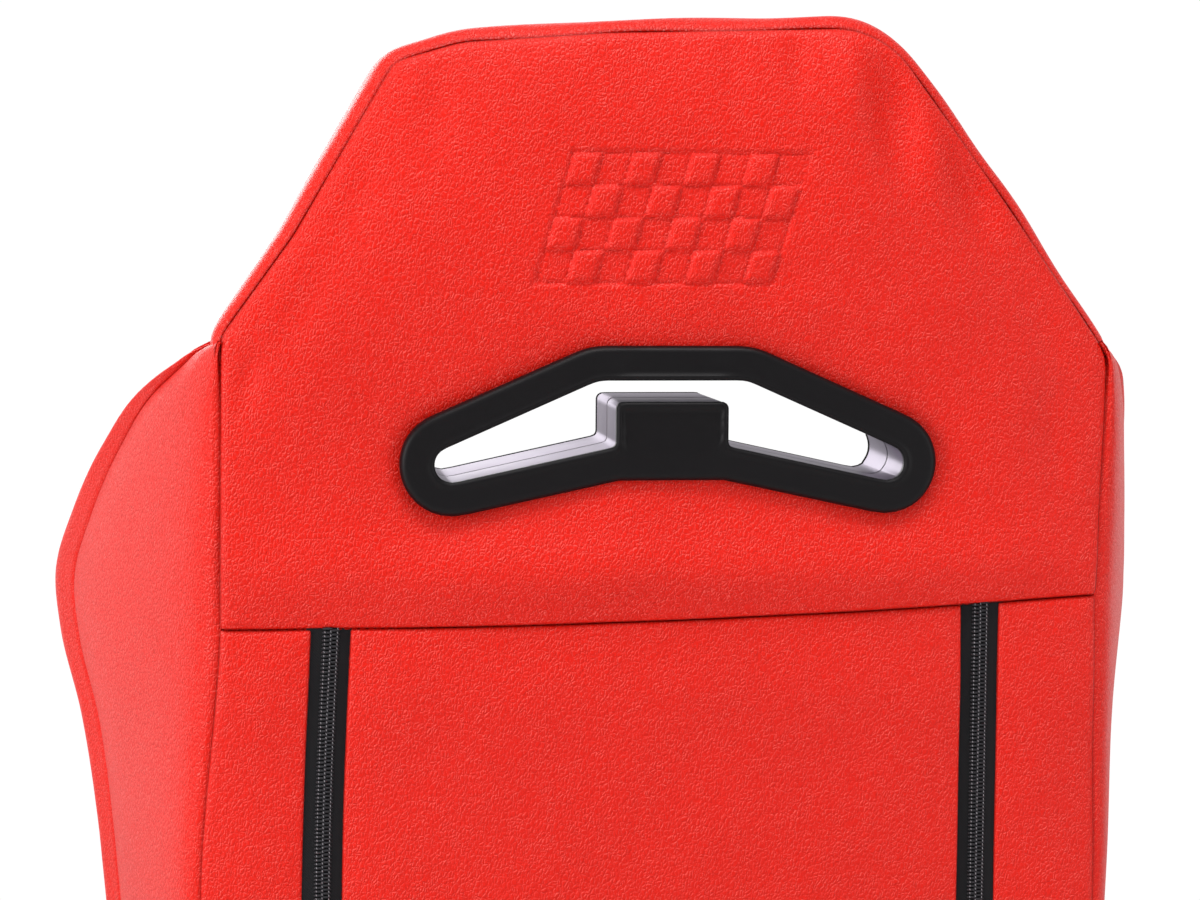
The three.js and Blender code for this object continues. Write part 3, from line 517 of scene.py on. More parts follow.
def edge_fall(z):
    """How far the head part's edge falls forward above the shoulders."""
    return EDGE_FALL * ease(z, 560, 640)


def top_fall(z):
    """How far the whole head part falls forward towards its top."""
    return CROWN_AT_TOP * ease(z, 620, 800)


def ripple(x, z):
    """The slight unevenness of a stuffed cover: three crossing waves."""
    long = 0.35 * np.sin(x / 29 + z / 41)
    crossing = 0.3 * np.sin(x / 17 - z / 26 + 1.3)
    return long + crossing + 0.2 * np.sin(x / 11 + z / 14 + 0.4)


# ---------------------------------------- shader groups and materials

def group(name, inputs, outputs):
    """An empty shader group with float inputs {name: default} and outputs {name: socket type}."""
    tree = bpy.data.node_groups.new(name, "ShaderNodeTree")
    for label, default in inputs.items():
        socket = tree.interface.new_socket(label, in_out="INPUT", socket_type="NodeSocketFloat")
        socket.default_value = default
    for label, kind in outputs.items():
        tree.interface.new_socket(label, in_out="OUTPUT", socket_type=kind)
    return tree


def add_node(tree, kind, settings=None, **sockets):
    """A node with its settings and its inputs, each set to a value or linked to another node's output.

    An input's key is its name with underscores for spaces, or the letter i and its number.
    """
    node = tree.nodes.new(kind)
    for key, value in (settings or {}).items():
        setattr(node, key, value)
    for key, value in sockets.items():
        numbered = key[0] == "i" and key[1:].isdigit()
        socket = node.inputs[int(key[1:]) if numbered else key.replace("_", " ")]
        if isinstance(value, bpy.types.NodeSocket):
            tree.links.new(value, socket)
        else:
            socket.default_value = value
    return node


def ramp(tree, factor, *stops):
    """A colour ramp through (place, value) or (place, colour) stops."""
    node = tree.nodes.new("ShaderNodeValToRGB")
    tree.links.new(factor, node.inputs["Fac"])
    elements = node.color_ramp.elements
    while len(elements) < len(stops):
        elements.new(0.5)
    for element, (place, value) in zip(elements, stops):
        element.position = place
        element.color = (value, value, value, 1) if isinstance(value, (int, float)) else (*value, 1)
    return node.outputs["Color"]


def math_node(tree, operation, a, b=0.0, c=0.5):
    """The output of a Math node on two or three values or outputs."""
    return add_node(tree, "ShaderNodeMath", {"operation": operation}, i0=a, i1=b, i2=c).outputs[0]


def vector_node(tree, operation, a, **others):
    """The output of a Vector Math node on two vectors, or on a vector and a scale."""
    return add_node(tree, "ShaderNodeVectorMath", {"operation": operation}, i0=a, **others).outputs[0]


def build_grain_group():
    """Leather grain: irregular pebbles parted by fine creases, and a slow drift of tone.

    The creases are the edges of warped cells. The difference between the creases and the same creases a
    little
    higher up is painted light: a highlight on each crease's lip that faces up, shade on the lip that faces
    down.
    """
    tree = group(
        "leather_grain", {"Pebble": 520.0},
        {
            "Height": "NodeSocketFloat", "Crease Mask": "NodeSocketFloat", "Painted Lip Light": "NodeSocketFloat",
            "Tone": "NodeSocketFloat",
        },
    )
    entry = tree.nodes.new("NodeGroupInput")
    leave = tree.nodes.new("NodeGroupOutput")
    place = tree.nodes.new("ShaderNodeTexCoord").outputs["Object"]
    creases = []
    # The second, raised pass serves only the painted highlight and shade on the creases' lips.
    for lift in (0.0, 0.00045):
        raised = vector_node(tree, "ADD", place, i1=(lift * 0.5, 0.0, lift))
        warp = add_node(tree, "ShaderNodeTexNoise", Vector=raised, Scale=300.0, Detail=2.0)
        shift = vector_node(tree, "SCALE", warp.outputs["Color"], Scale=0.0028)
        squeezed = add_node(
            tree, "ShaderNodeMapping",
            Vector=vector_node(tree, "ADD", raised, i1=shift),
            Rotation=(0.0, 0.5, 0.0), Scale=(1.0, 1.0, 0.62),
        )
        cells = add_node(
            tree, "ShaderNodeTexVoronoi", {"feature": "DISTANCE_TO_EDGE"},
            Vector=squeezed.outputs[0], Scale=entry.outputs["Pebble"],
        )
        creases.append(ramp(tree, cells.outputs["Distance"], (0.0, 0.0), (0.1, 0.55), (0.36, 1.0)))
    fine = add_node(tree, "ShaderNodeTexNoise", Vector=place, Scale=1700.0, Detail=3.0)
    folds = add_node(tree, "ShaderNodeTexNoise", Vector=place, Scale=170.0, Detail=4.0, Roughness=0.6)
    broad = add_node(tree, "ShaderNodeTexNoise", Vector=place, Scale=9.0, Detail=3.0)
    height = math_node(tree, "MULTIPLY", creases[0], 0.6)
    height = math_node(tree, "ADD", height, math_node(tree, "MULTIPLY", fine.outputs["Fac"], 0.12))
    height = math_node(tree, "ADD", height, math_node(tree, "MULTIPLY", folds.outputs["Fac"], 0.9))
    # Painted light: the up-facing lip of a crease comes out pale (painted highlight), the down-facing lip
    # dark (painted shade).
    lip = math_node(tree, "SUBTRACT", creases[0], creases[1])
    patchy_lip_light = math_node(tree, "MULTIPLY", lip, math_node(tree, "MULTIPLY", folds.outputs["Fac"], 1.9))
    tree.links.new(height, leave.inputs["Height"])
    tree.links.new(creases[0], leave.inputs["Crease Mask"])
    tree.links.new(math_node(tree, "MULTIPLY_ADD", patchy_lip_light, 0.5), leave.inputs["Painted Lip Light"])
    tree.links.new(broad.outputs["Fac"], leave.inputs["Tone"])
    return tree


def build_speckle_group():
    """The fine grain of a moulding or a coat of powder: a height, and a mask of dull patches."""
    tree = group("fine_speckle", {"Scale": 1500.0}, {"Height": "NodeSocketFloat", "Dull": "NodeSocketFloat"})
    entry = tree.nodes.new("NodeGroupInput")
    leave = tree.nodes.new("NodeGroupOutput")
    place = tree.nodes.new("ShaderNodeTexCoord").outputs["Object"]
    fine = add_node(tree, "ShaderNodeTexNoise", Vector=place, Scale=entry.outputs["Scale"], Detail=2.0)
    patches = add_node(tree, "ShaderNodeTexNoise", Vector=place, Scale=24.0, Detail=5.0, Roughness=0.65)
    tree.links.new(fine.outputs["Fac"], leave.inputs["Height"])
    tree.links.new(patches.outputs["Fac"], leave.inputs["Dull"])
    return tree


def build_weave_group():
    """A fine herringbone weave for zip tape: two crossing sets of threads along the tape and across it."""
    tree = group("tape_weave", {"Threads": 1500.0}, {"Height": "NodeSocketFloat"})
    entry = tree.nodes.new("NodeGroupInput")
    leave = tree.nodes.new("NodeGroupOutput")
    place = tree.nodes.new("ShaderNodeTexCoord").outputs["Object"]
    parts = add_node(tree, "ShaderNodeSeparateXYZ", Vector=place)
    heights = []
    for along, across in (("X", "Z"), ("Z", "X")):
        slant = math_node(tree, "MULTIPLY", parts.outputs[across], 0.5)
        slanted = math_node(tree, "ADD", parts.outputs[along], slant)
        turn = math_node(tree, "MULTIPLY", slanted, entry.outputs["Threads"])
        heights.append(math_node(tree, "SINE", math_node(tree, "MULTIPLY", turn, FULL_TURN)))
    both = math_node(tree, "MULTIPLY", heights[0], heights[1])
    height = math_node(tree, "MULTIPLY", math_node(tree, "ADD", both, 1.0), 0.5)
    tree.links.new(height, leave.inputs["Height"])
    return tree


def start_material(name, color, roughness, metallic=0.0, specular=0.2):
    """A material with its plain values set, its node tree and its shader."""
    made = bpy.data.materials.new(name)
    made.use_nodes = True
    made.diffuse_color = (*color, 1)
    shader = made.node_tree.nodes["Principled BSDF"]
    shader.inputs["Base Color"].default_value = (*color, 1)
    shader.inputs["Roughness"].default_value = roughness
    shader.inputs["Metallic"].default_value = metallic
    shader.inputs["Specular IOR Level"].default_value = specular
    return made, made.node_tree, shader


def place_group(tree, name, **values):
    """One of the shader groups, placed in a material with its own values."""
    node = tree.nodes.new("ShaderNodeGroup")
    node.node_tree = bpy.data.node_groups[name]
    for key, value in values.items():
        node.inputs[key].default_value = value
    return node


def put_bump(tree, shader, height, strength, distance):
    """Lets a height between 0 and 1 tilt the surface; the distance is its full depth in metres."""
    node = add_node(tree, "ShaderNodeBump", Height=height, Strength=strength, Distance=distance)
    tree.links.new(node.outputs[0], shader.inputs["Normal"])


def two_tones(tree, shader, factor, dark, light):
    """Base colour from dark at factor 0 to light at factor 1."""
    node = add_node(tree, "ShaderNodeMix", {"data_type": "RGBA"}, i0=factor)
    node.inputs[6].default_value = (*dark, 1)
    node.inputs[7].default_value = (*light, 1)
    tree.links.new(node.outputs[2], shader.inputs["Base Color"])


def rough_between(tree, shader, factor, low, high):
    """Roughness from low at factor 0 to high at factor 1."""
    node = add_node(tree, "ShaderNodeMapRange", Value=factor, To_Min=low, To_Max=high)
    tree.links.new(node.outputs[0], shader.inputs["Roughness"])


def make_leather(name, color, pebble):
    """Grained leather: painted highlight and painted shade on its creases' lips, and painted shade darkest in
    a seam.
    """
    made, tree, shader = start_material(name, color, 0.42, specular=0.22)
    grain = place_group(tree, "leather_grain", Pebble=pebble)
    # Painted light: pale is the painted highlight on a crease's up-facing lip, deep the painted shade on its
    # down-facing lip.
    pale = tuple(min(1.0, c + add) for c, add in zip(color, (0.12, 0.1, 0.09)))
    deep = tuple(c * 0.8 for c in color)
    lip_highlight_and_shade = add_node(tree, "ShaderNodeValToRGB", Fac=grain.outputs["Painted Lip Light"])
    for element, (place, tone) in zip(lip_highlight_and_shade.color_ramp.elements, ((0.22, deep), (0.9, pale))):
        element.position = place
        element.color = (*tone, 1)
    lip_highlight_and_shade.color_ramp.elements.new(0.46).color = (*color, 1)
    lip_highlight_and_shade.color_ramp.elements.new(0.56).color = (*color, 1)
    # Painted shade in the seams: the base colour halves at a seam and comes back within about a millimetre of
    # it.
    seam = add_node(tree, "ShaderNodeAttribute", {"attribute_name": "seam"})
    centimetres = math_node(tree, "MULTIPLY", seam.outputs["Fac"], 0.1)
    edge = ramp(tree, centimetres, (0.0, 0.5), (0.04, 0.72), (0.12, 1.0))
    drift = add_node(
        tree, "ShaderNodeMapRange", Value=grain.outputs["Tone"], From_Min=0.3, From_Max=0.7, To_Min=0.95
    )
    shade = math_node(tree, "MULTIPLY", edge, drift.outputs[0])
    shaded = add_node(tree, "ShaderNodeMix", {"data_type": "RGBA", "blend_type": "MULTIPLY"}, i0=1.0)
    tree.links.new(lip_highlight_and_shade.outputs["Color"], shaded.inputs[6])
    tree.links.new(shade, shaded.inputs[7])
    tree.links.new(shaded.outputs[2], shader.inputs["Base Color"])
    rough_between(tree, shader, grain.outputs["Crease Mask"], 0.5, 0.35)
    put_bump(tree, shader, grain.outputs["Height"], 0.6, 0.0005)
    return made


def make_speckled(name, color, roughness, metallic, scale, depth, contrast=0.8, specular=0.2):
    """A finely grained finish with duller, darker patches; a metal keeps its colour at grazing angles."""
    made, tree, shader = start_material(name, color, roughness, metallic, specular)
    grain = place_group(tree, "fine_speckle", Scale=scale)
    two_tones(tree, shader, grain.outputs["Dull"], tuple(c * contrast for c in color), color)
    rough_between(tree, shader, grain.outputs["Dull"], roughness * 0.8, roughness * 1.25)
    put_bump(tree, shader, grain.outputs["Height"], 0.3, depth)
    if metallic:
        shader.inputs["Specular Tint"].default_value = (*(min(1.0, c * 1.15) for c in color), 1)
    return made


def make_tape(name, color):
    """Woven tape: painted shade between its threads."""
    made, tree, shader = start_material(name, color, 0.85)
    weave = place_group(tree, "tape_weave")
    # Painted shade: the colour follows the weave's height, darker where the threads dip.
    two_tones(tree, shader, weave.outputs["Height"], tuple(c * 0.6 for c in color), color)
    put_bump(tree, shader, weave.outputs["Height"], 0.6, 0.00025)
    return made


MATERIALS = {}


def build_materials():
    """The shader groups and every finish of the seat, from the colours in the panel."""
    finish = bpy.context.scene.seat_finish
    build_grain_group()
    build_speckle_group()
    build_weave_group()
    red = tuple(finish.leather)
    black = tuple(finish.plastic)
    # After name and colour come roughness, metallic, grains in a metre, their depth, contrast and specular.
    MATERIALS.update(
        leather=make_leather("red_grained_leather", red, finish.pebble),
        thread=make_speckled("red_thread", tuple(c * 0.55 for c in red), 0.7, 0, 3000, 0.0001, 0.8, 0.05),
        moulding=make_speckled("black_grained_moulding", black, 0.46, 0, 1500, 0.00012, 0.9),
        silver=make_speckled("silver_plating", tuple(finish.silver), 0.34, 1, 90, 0.00002, 0.95),
        coat=make_speckled("black_powder_coat", (0.018, 0.018, 0.02), 0.42, 0, 900, 0.00015, 0.85),
        zinc=make_speckled("zinc_plate", (0.52, 0.53, 0.54), 0.34, 1, 400, 0.00004, 0.78),
        tape=make_tape("zip_tape_weave", (0.016, 0.016, 0.018)),
        coil=make_speckled("zip_nylon", (0.028, 0.026, 0.03), 0.34, 0, 2600, 0.00004),
        pale_thread=make_speckled("zip_thread", (0.3, 0.28, 0.3), 0.5, 0, 3000, 0.00004),
        gunmetal=make_speckled("dark_plating", (0.1, 0.1, 0.11), 0.3, 1, 500, 0.00003),
        lining=make_speckled("black_lining", (0.02, 0.02, 0.021), 0.9, 0, 700, 0.0004, 0.6),
    )


# ---------------------------------------- stitching

def add_stitches(name, path, outs, body, sink=0.0):
    """Thread along a seam: a bead of thread every pitch, lying along the seam and sunk into it."""
    pitch = bpy.context.scene.seat_sizes.stitch_pitch
    length = lengths_along(path)
    places = np.arange(pitch / 2, length[-1], pitch)
    line = read_off(path, length, places)
    out = read_off(outs, length, places)
    out /= np.linalg.norm(out, axis=1, keepdims=True)
    ahead = read_off(path, length, places + 1e-4)
    template, faces = bead(pitch * 0.74, 0.00085, 0.0008)
    tangents = ahead - line + 1e-9
    piece = copies_along(name, template, faces, line - out * sink, tangents, out, MATERIALS["thread"])
    return dress(piece, body, "red_leather")


def build_seam(name, line, out):
    """The thread in a closed seam of the backrest, sunk between the covers that meet there."""
    outward = np.asarray(out, float) * np.ones((len(line), 1))
    add_stitches(f"{name}_thread", on_back(line), turned(outward), "back", sink=0.1 * MM)


# ---------------------------------------- rear cover

def emblem(x, z):
    """A generic pressed check: a leaning field of cells, every other one puffed, parted by fine grooves."""
    centre, half_high, half_wide, columns, rows = 668.5, 31.0, 57.0, 8, 4
    u = x + 0.3 * (z - centre)
    a = (u + half_wide) / (2 * half_wide) * columns
    b = (z - centre + half_high) / (2 * half_high) * rows
    field = (a > 0) & (a < columns) & (b > 0) & (b < rows)
    i, j = np.floor(a), np.floor(b)
    cell_a, cell_b = a - i, b - j
    puffed = (i + j) % 2 == 0
    pillow = (1 - (2 * cell_a - 1) ** 4) * (1 - (2 * cell_b - 1) ** 4)
    wide, high = 2 * half_wide / columns, 2 * half_high / rows
    edge = np.minimum(np.minimum(cell_a, 1 - cell_a) * wide, np.minimum(cell_b, 1 - cell_b) * high)
    inner = np.where(puffed, 1.3 * pillow, -0.9) - 1.1 * np.exp(-((edge / 0.8) ** 2))
    rim = np.maximum(np.abs(u) - half_wide, 0) ** 2 + np.maximum(np.abs(z - centre) - half_high, 0) ** 2
    return np.where(field, inner, -1.4 * np.exp(-rim / 1.4)) - 0.7 * np.exp(-rim / 120)


DENT_STRENGTH = 1.35


def wrinkles(x, z):
    """The soft dents where the cover is pulled over the frame's corners: long bells that lean a little."""
    dents = [  # centre x and z, half width, half length, depth, lean
        (-109, 722, 9, 32, 4.2, 0.1), (-152, 690, 10, 30, 3.6, 0.12), (-129, 706, 9, 26, -2.2, 0.1),
        (-88, 735, 9, 22, -1.4, 0.1), (-62, 742, 6, 20, 1.3, 0.05), (-30, 744, 6, 16, 0.8, 0.05),
        (112, 722, 8, 20, 1.0, -0.1), (150, 676, 9, 24, 0.9, -0.35), (-188, 610, 10, 26, 1.2, 0.5),
        (178, 622, 10, 24, 1.0, -0.5), (-60, 640, 24, 9, 0.6, 0.0), (-190, 560, 8, 30, 1.2, 0.15),
        (202, 590, 5, 16, 1.4, -0.2),
    ]
    total = 0
    for centre_x, centre_z, wide, tall, depth, lean in dents:
        across = x - centre_x - lean * (z - centre_z)
        total = total - DENT_STRENGTH * depth * np.exp(-((across / wide) ** 2) - ((z - centre_z) / tall) ** 2)
    return total


def between(bottom, top, left, right, u, v):
    """A sheet between four edge lines, a Coons patch.

    The blend of each pair of facing edges, added up, less the blend of the four corners.
    """
    u, v = u[None, :, None], v[:, None, None]
    bottom, top, left, right = bottom[None], top[None], left[:, None], right[:, None]
    corners = (1 - v) * ((1 - u) * left[:1] + u * right[:1]) + v * ((1 - u) * left[-1:] + u * right[-1:])
    return (1 - v) * bottom + v * top + (1 - u) * left + u * right - corners


def head_patch(u, v, foot):
    """Points (x, z) over the head part, from the foot line (a function of x) to the top edge."""
    start, stop = HEAD_ARCS[3], HEAD_ARCS[6]
    left = HEAD_OUTLINE[:start + 1][HEAD_OUTLINE[:start + 1, 1] > foot(215.0) + 1]
    left = np.concatenate([[[float(seam_at(1, foot(215.0))), foot(215.0)]], left])
    right = HEAD_OUTLINE[stop:][HEAD_OUTLINE[stop:, 1] > foot(-215.0) + 1][::-1]
    right = np.concatenate([[[float(seam_at(-1, foot(-215.0))), foot(-215.0)]], right])
    base_x = mix(left[0, 0], right[0, 0], u)
    bottom = np.stack([base_x, foot(base_x)], 1)
    top = at_shares(HEAD_OUTLINE[start:stop + 1], u)
    patch = between(bottom, top, at_shares(left, v), at_shares(right, v), u, v)
    return patch[..., 0], patch[..., 1]


def round_the_slot(x, z):
    """For a sheet over the head part: distances to its outline and the bezel, and its faces past the slot."""
    flat = np.stack([x.ravel(), z.ravel()], 1)
    to_edge = distance_to(flat, HEAD_OUTLINE[1:], closed=False).reshape(x.shape)
    bezel = slot_outline(BEZEL_BAND, tab=False)
    to_bezel = np.where(is_inside(flat, bezel), 0, distance_to(flat, bezel)).reshape(x.shape)
    faces = grid_faces(*x.shape)
    hidden = is_inside(flat[faces].mean(1), slot_outline(BEZEL_BAND - 5, tab=False))
    return to_edge, to_bezel, faces[~hidden]


def build_yoke():
    """The head part's rear: the crowned rear surface over its outline, pressed with the check.

    It is rolled into its seams and sunk to the bezel. It falls forward at its edges and swells above its
    lower seam.
    """
    u = spaced((0, 0.002), (0.01, 0.0072), (0.3, 0.0033), (0.7, 0.0072), (0.99, 0.002), 1.0)
    v = spaced((0, 0.0028), (0.02, 0.0095), (0.5, 0.0036), (0.8, 0.008), (0.97, 0.0025), 1.0)
    x, z = head_patch(u, v, yoke_seam_at)
    to_edge, to_bezel, faces = round_the_slot(x, z)
    to_seam = np.maximum(z - yoke_seam_at(x), 0)
    near = np.minimum(to_edge, to_seam)
    dents = wrinkles(x, z) * (1 - np.exp(-((to_edge / 7) ** 2)))
    puffed = 2.4 * (1 - np.exp(-near / 15)) - 1.4
    into_seams = rolled(to_edge, 4.5, 2.6) + rolled(to_seam, 4, 2.4)
    to_the_bezel = 3.6 * np.exp(-to_bezel / 7) + 2.0 * np.exp(-((to_bezel / 30) ** 2))
    swell_over_seam = 7.0 * bump(z, 499, 19) * bump(x, 0, 190) * (1 - np.exp(-to_bezel / 12))
    y = rear_surface(x) + ripple(x, z) + dents + puffed
    y -= edge_fall(z) * np.exp(-to_edge / 23)
    y -= into_seams
    y -= to_the_bezel
    y += swell_over_seam
    y -= top_fall(z)
    y += emblem(x, z)
    piece = make_piece(
        "rear_yoke", on_back(np.stack([x, y, z], -1)), faces, MATERIALS["leather"],
        inside=on_back([0, -200, 600]), seam=near,
    )
    thicken(piece)
    return dress(piece, "back", "red_leather", "rear_yoke_panel", fill=0.5)


def build_lower_panel(name, low, high, nodes, seam_sides):
    """A panel from the hem to the yoke seam between two lines, which are functions of height.

    It is the crowned rear surface, rolled deep into its seams and more sharply over its folds at a zip.
    """
    level = spaced((HEM, 0.9), (HEM + 6, 2.8), (YOKE_SEAM - 8, 0.8), YOKE_SEAM)
    wide = high(300.0) - low(300.0)
    share = spaced((0, 0.6 / wide), (5 / wide, 2.7 / wide), (1 - 5 / wide, 0.6 / wide), 1.0)
    share, level = np.meshgrid(share, level)
    x = mix(low(level), high(level), share)
    z = level + (yoke_seam_at(x) - YOKE_SEAM) * ease(level, YOKE_SEAM - 90, YOKE_SEAM)
    to_low, to_high = x - low(level), high(level) - x
    to_seam = yoke_seam_at(x) - z
    nearest = np.minimum(np.minimum(to_low, to_high), to_seam)
    puffed = 2.0 * (1 - np.exp(-nearest / 13)) - 1.4
    y = rear_surface(x) + ripple(x + 90, z) * 0.8 + puffed
    for distance, is_seam in ((to_low, seam_sides[0]), (to_high, seam_sides[1])):
        y -= rolled(distance, 4.5, 2.6) if is_seam else rolled(distance, 1.8, 2.4)
    y -= rolled(to_seam, 3.5, 2.6) + rolled(z - HEM, 6, 7)
    pulled_by_seam = 0.8 * bump(z, 440, 20) - 0.8 * bump(z, 400, 26) * bump(x, -40, 90)
    y += pulled_by_seam
    points = on_back(np.stack([x, y, z], -1))
    near = np.minimum(np.where(seam_sides[0], to_low, FAR), np.where(seam_sides[1], to_high, FAR))
    piece = make_piece(
        name, points, grid_faces(*x.shape), MATERIALS["leather"], inside=on_back([0, -200, 300]),
        seam=np.minimum(near, to_seam),
    )
    thicken(piece)
    return dress(piece, "back", "red_leather", *nodes, fill=0.4)


# ---------------------------------------- wings

def wing_sections(heights, side):
    """Control points of a wing's sections at some heights, from the rear seam round the tip to the insert."""
    levels, flares, depths = WING_TABLE.T
    flare = curve_through(levels, flares, heights) * WING_SHARE[side]
    depth = curve_through(levels, depths, heights)
    splay = ease(heights, *SPLAY)
    rear = rear_surface(SEAM_HALF) - edge_fall(heights)
    seam = np.abs(seam_at(side, heights)) + 0.15
    inner = mix(INSERT_HALF + 1, seam - 1.2, splay)
    outer = seam + flare
    edge = mix(WING_TIP, np.minimum(WING_TIP, 0.7 * flare), splay)
    tip = rear - depth
    lower = mix(-22.0, rear - 0.66 * depth, splay)
    over = 3.4 * ease(flare, 4, 30)

    def panel(share, forward):
        return mix(seam, outer, share), rear - forward * depth

    controls = [
        (seam, rear - 2.6),
        panel(0.13, 0.06),
        panel(0.36, 0.26),
        panel(0.7, 0.6),
        panel(0.93, 0.87),
        (outer + over, tip),
        (outer - 0.5 * edge, tip - 13),
        (outer - edge, tip - 7),
        (mix(inner + 18, outer - 1.06 * edge, splay), mix(-40.0, tip + 0.2 * depth, splay)),
        (inner + mix(1.5, 0.5, splay), lower),
        (inner + mix(0.5, 0.2, splay), mix(-8.0, rear - 0.4 * depth, splay)),
    ]
    return np.stack([np.stack(pair, -1) for pair in controls], 1)


def wing_surface(side, start, stop, count, roll_start, roll_stop):
    """The wing between two control points: each section a smooth curve, rolled inwards at the sewn edges."""
    heights = spaced((HEM, 0.9), (HEM + 7, 5), (380, 3.6), (590, 0.9), WING_TOP)
    even = np.linspace(0, 1, count)
    closer_at_ends = (1 - np.cos(math.pi * even)) / 2
    samples = start + (stop - start) * mix(even, closer_at_ends, 0.35)
    flat = spline(wing_sections(heights, side), samples)
    chord = np.linalg.norm(np.diff(flat, axis=1), axis=2)
    length = np.concatenate([np.zeros((len(heights), 1)), np.cumsum(chord, 1)], 1)
    tangent = np.gradient(flat, axis=1)
    tangent /= np.linalg.norm(tangent, axis=2, keepdims=True) + 1e-9
    inward = np.stack([tangent[..., 1], -tangent[..., 0]], -1)
    total = length[:, -1:]
    near = np.minimum(np.where(roll_start, length, 1e3), np.where(roll_stop, total - length, 1e3))
    size = np.clip(total / 30, 0.05, 1)
    sink = rolled(near, 4 * size, WING_ROLL * size) - WING_ROLL * size * (1 - np.exp(-near / (16 * size)))
    sink = sink + rolled(heights - HEM, 7, 6)[:, None]
    flat = flat + inward * sink[..., None]
    flat += inward * 0.5 * np.sin(flat[..., :1] / 19 + heights[:, None, None] / 31)
    x = flat[..., 0] * side
    y = flat[..., 1]
    z = np.broadcast_to(heights[:, None], x.shape)
    return np.stack([x, y, z], -1), near


def build_wing(word, side):
    """A wing's side panel and bolster, sewn together along the ridge, and the thread in its two seams."""
    middle = on_back([side * 222, -40, 420])
    panel, near_panel = wing_surface(side, 0, RIDGE, 50, True, True)
    bolster, near_bolster = wing_surface(side, RIDGE, LAST_CONTROL, 60, True, False)
    made = []
    for part, surface, near in (("side_panel", panel, near_panel), ("bolster", bolster, near_bolster)):
        piece = make_piece(
            f"wing_{part}_{word}", on_back(surface), grid_faces(*surface.shape[:2]), MATERIALS["leather"],
            inside=middle, seam=near,
        )
        thicken(piece)
        made.append(piece)
    dress(made[0], "back", "red_leather", fill=0.6)
    dress(made[1], "back", "red_leather", f"back_bolster_cover_{word}", f"back_bolster_foam_{word}", fill=0.7)
    sewn = panel[:, 0, 2] < 603
    build_seam(f"rear_seam_{word}", panel[sewn, 0] + [0, 0.6, 0], (0, 1, 0))
    build_seam(f"wing_ridge_{word}", panel[panel[:, 0, 2] < 596, -1], (side * 0.8, 0.6, 0))
    build_wing_foot(word, side)


def build_wing_foot(word, side):
    """The lining that closes a wing's lower end: its lowest section drawn in to a point, ring by ring."""
    controls = wing_sections(np.array([HEM]), side)
    around = spline(controls, np.linspace(0, LAST_CONTROL, 90))[0]
    centre = around.mean(0)
    shrink = np.array([0.99, 0.97, 0.9, 0.7, 0.4, 0.02])[:, None, None]
    flat = centre + (around - centre) * shrink
    lift = np.array([0.5, 2.5, 4.5, 5.5, 6, 6])[:, None] * np.ones(len(around))
    points = np.stack([flat[..., 0] * side, flat[..., 1], HEM + lift], -1)
    piece = make_piece(
        f"wing_foot_{word}", on_back(points), grid_faces(len(shrink), len(around), closed_columns=True),
        MATERIALS["lining"], inside=on_back([side * 200, 0, 200]),
    )
    thicken(piece, 1.0)
    return dress(piece, "back", "red_leather")


# ---------------------------------------- the head part's band and front

def head_front(x, z, half):
    """The head part's front surface: flat round the slot, forward at its sides, rounded over at its top."""
    fades = 1 - 0.7 * ease(z, 690, 760)
    wing = HEAD_WING * ease(z, 440, 560) * fades
    above = 12 * ease(z, TOP - 24, TOP + 4)
    front = mix(-25.0, FRONT, ease(z, 440, 511)) + above
    share = np.abs(x) / half
    return front - wing * ease(share, 0.6, 0.98)


def build_band():
    """The band between the rear seam and the front seam: a shallow arch from one to the other all along."""
    line = HEAD_OUTLINE[HEAD_OUTLINE[:, 1] > 540]
    line = np.concatenate([[[seam_at(1, 545), 545]], line, [[seam_at(-1, 545), 545]]]).astype(float)
    path = smoothed(resampled(line, 2.6), 3)
    ahead = np.gradient(path, axis=0)
    ahead /= np.linalg.norm(ahead, axis=1, keepdims=True)
    out = np.stack([ahead[:, 1], -ahead[:, 0]], 1)
    x, z = path.T
    half = np.maximum(half_width(z), np.abs(x))
    rear = rear_surface(x) - 3.8 - top_fall(z) - edge_fall(z)
    front = head_front(x, z, half) + 6
    shown = ease(z, 588, 609)
    t = ((1 - np.cos(np.linspace(0, math.pi, 44))) / 2)[None]
    wide = np.abs(rear - front)[:, None]
    arch = 7.2 * (1 - np.exp(-t * wide / 4)) * (1 - np.exp(-(1 - t) * wide / 5))
    arch = arch * mix(0.72, 1.0, ease(z, 606, 690))[:, None]
    waves = 0.45 * np.sin(x[:, None] / 13 + z[:, None] / 17 + 5 * t)
    swell = arch * shown[:, None] - 0.6 * (1 - shown[:, None])
    swell = swell + waves * shown[:, None]
    y = mix(rear[:, None], front[:, None], t)
    points = np.stack([x[:, None] + out[:, :1] * swell, y, z[:, None] + out[:, 1:] * swell], -1)
    piece = make_piece(
        "head_band", on_back(points), grid_faces(*points.shape[:2]), MATERIALS["leather"],
        inside=on_back([0, 20, 640]), seam=np.minimum(t, 1 - t) * wide,
    )
    thicken(piece)
    dress(piece, "back", "red_leather", fill=0.5)
    above_shoulder = z > SHOULDER - 4
    build_seam("head_seam", points[above_shoulder, 0], (0, 1, 0))
    build_seam("head_front_seam", points[above_shoulder, -1], (0, -1, 0))


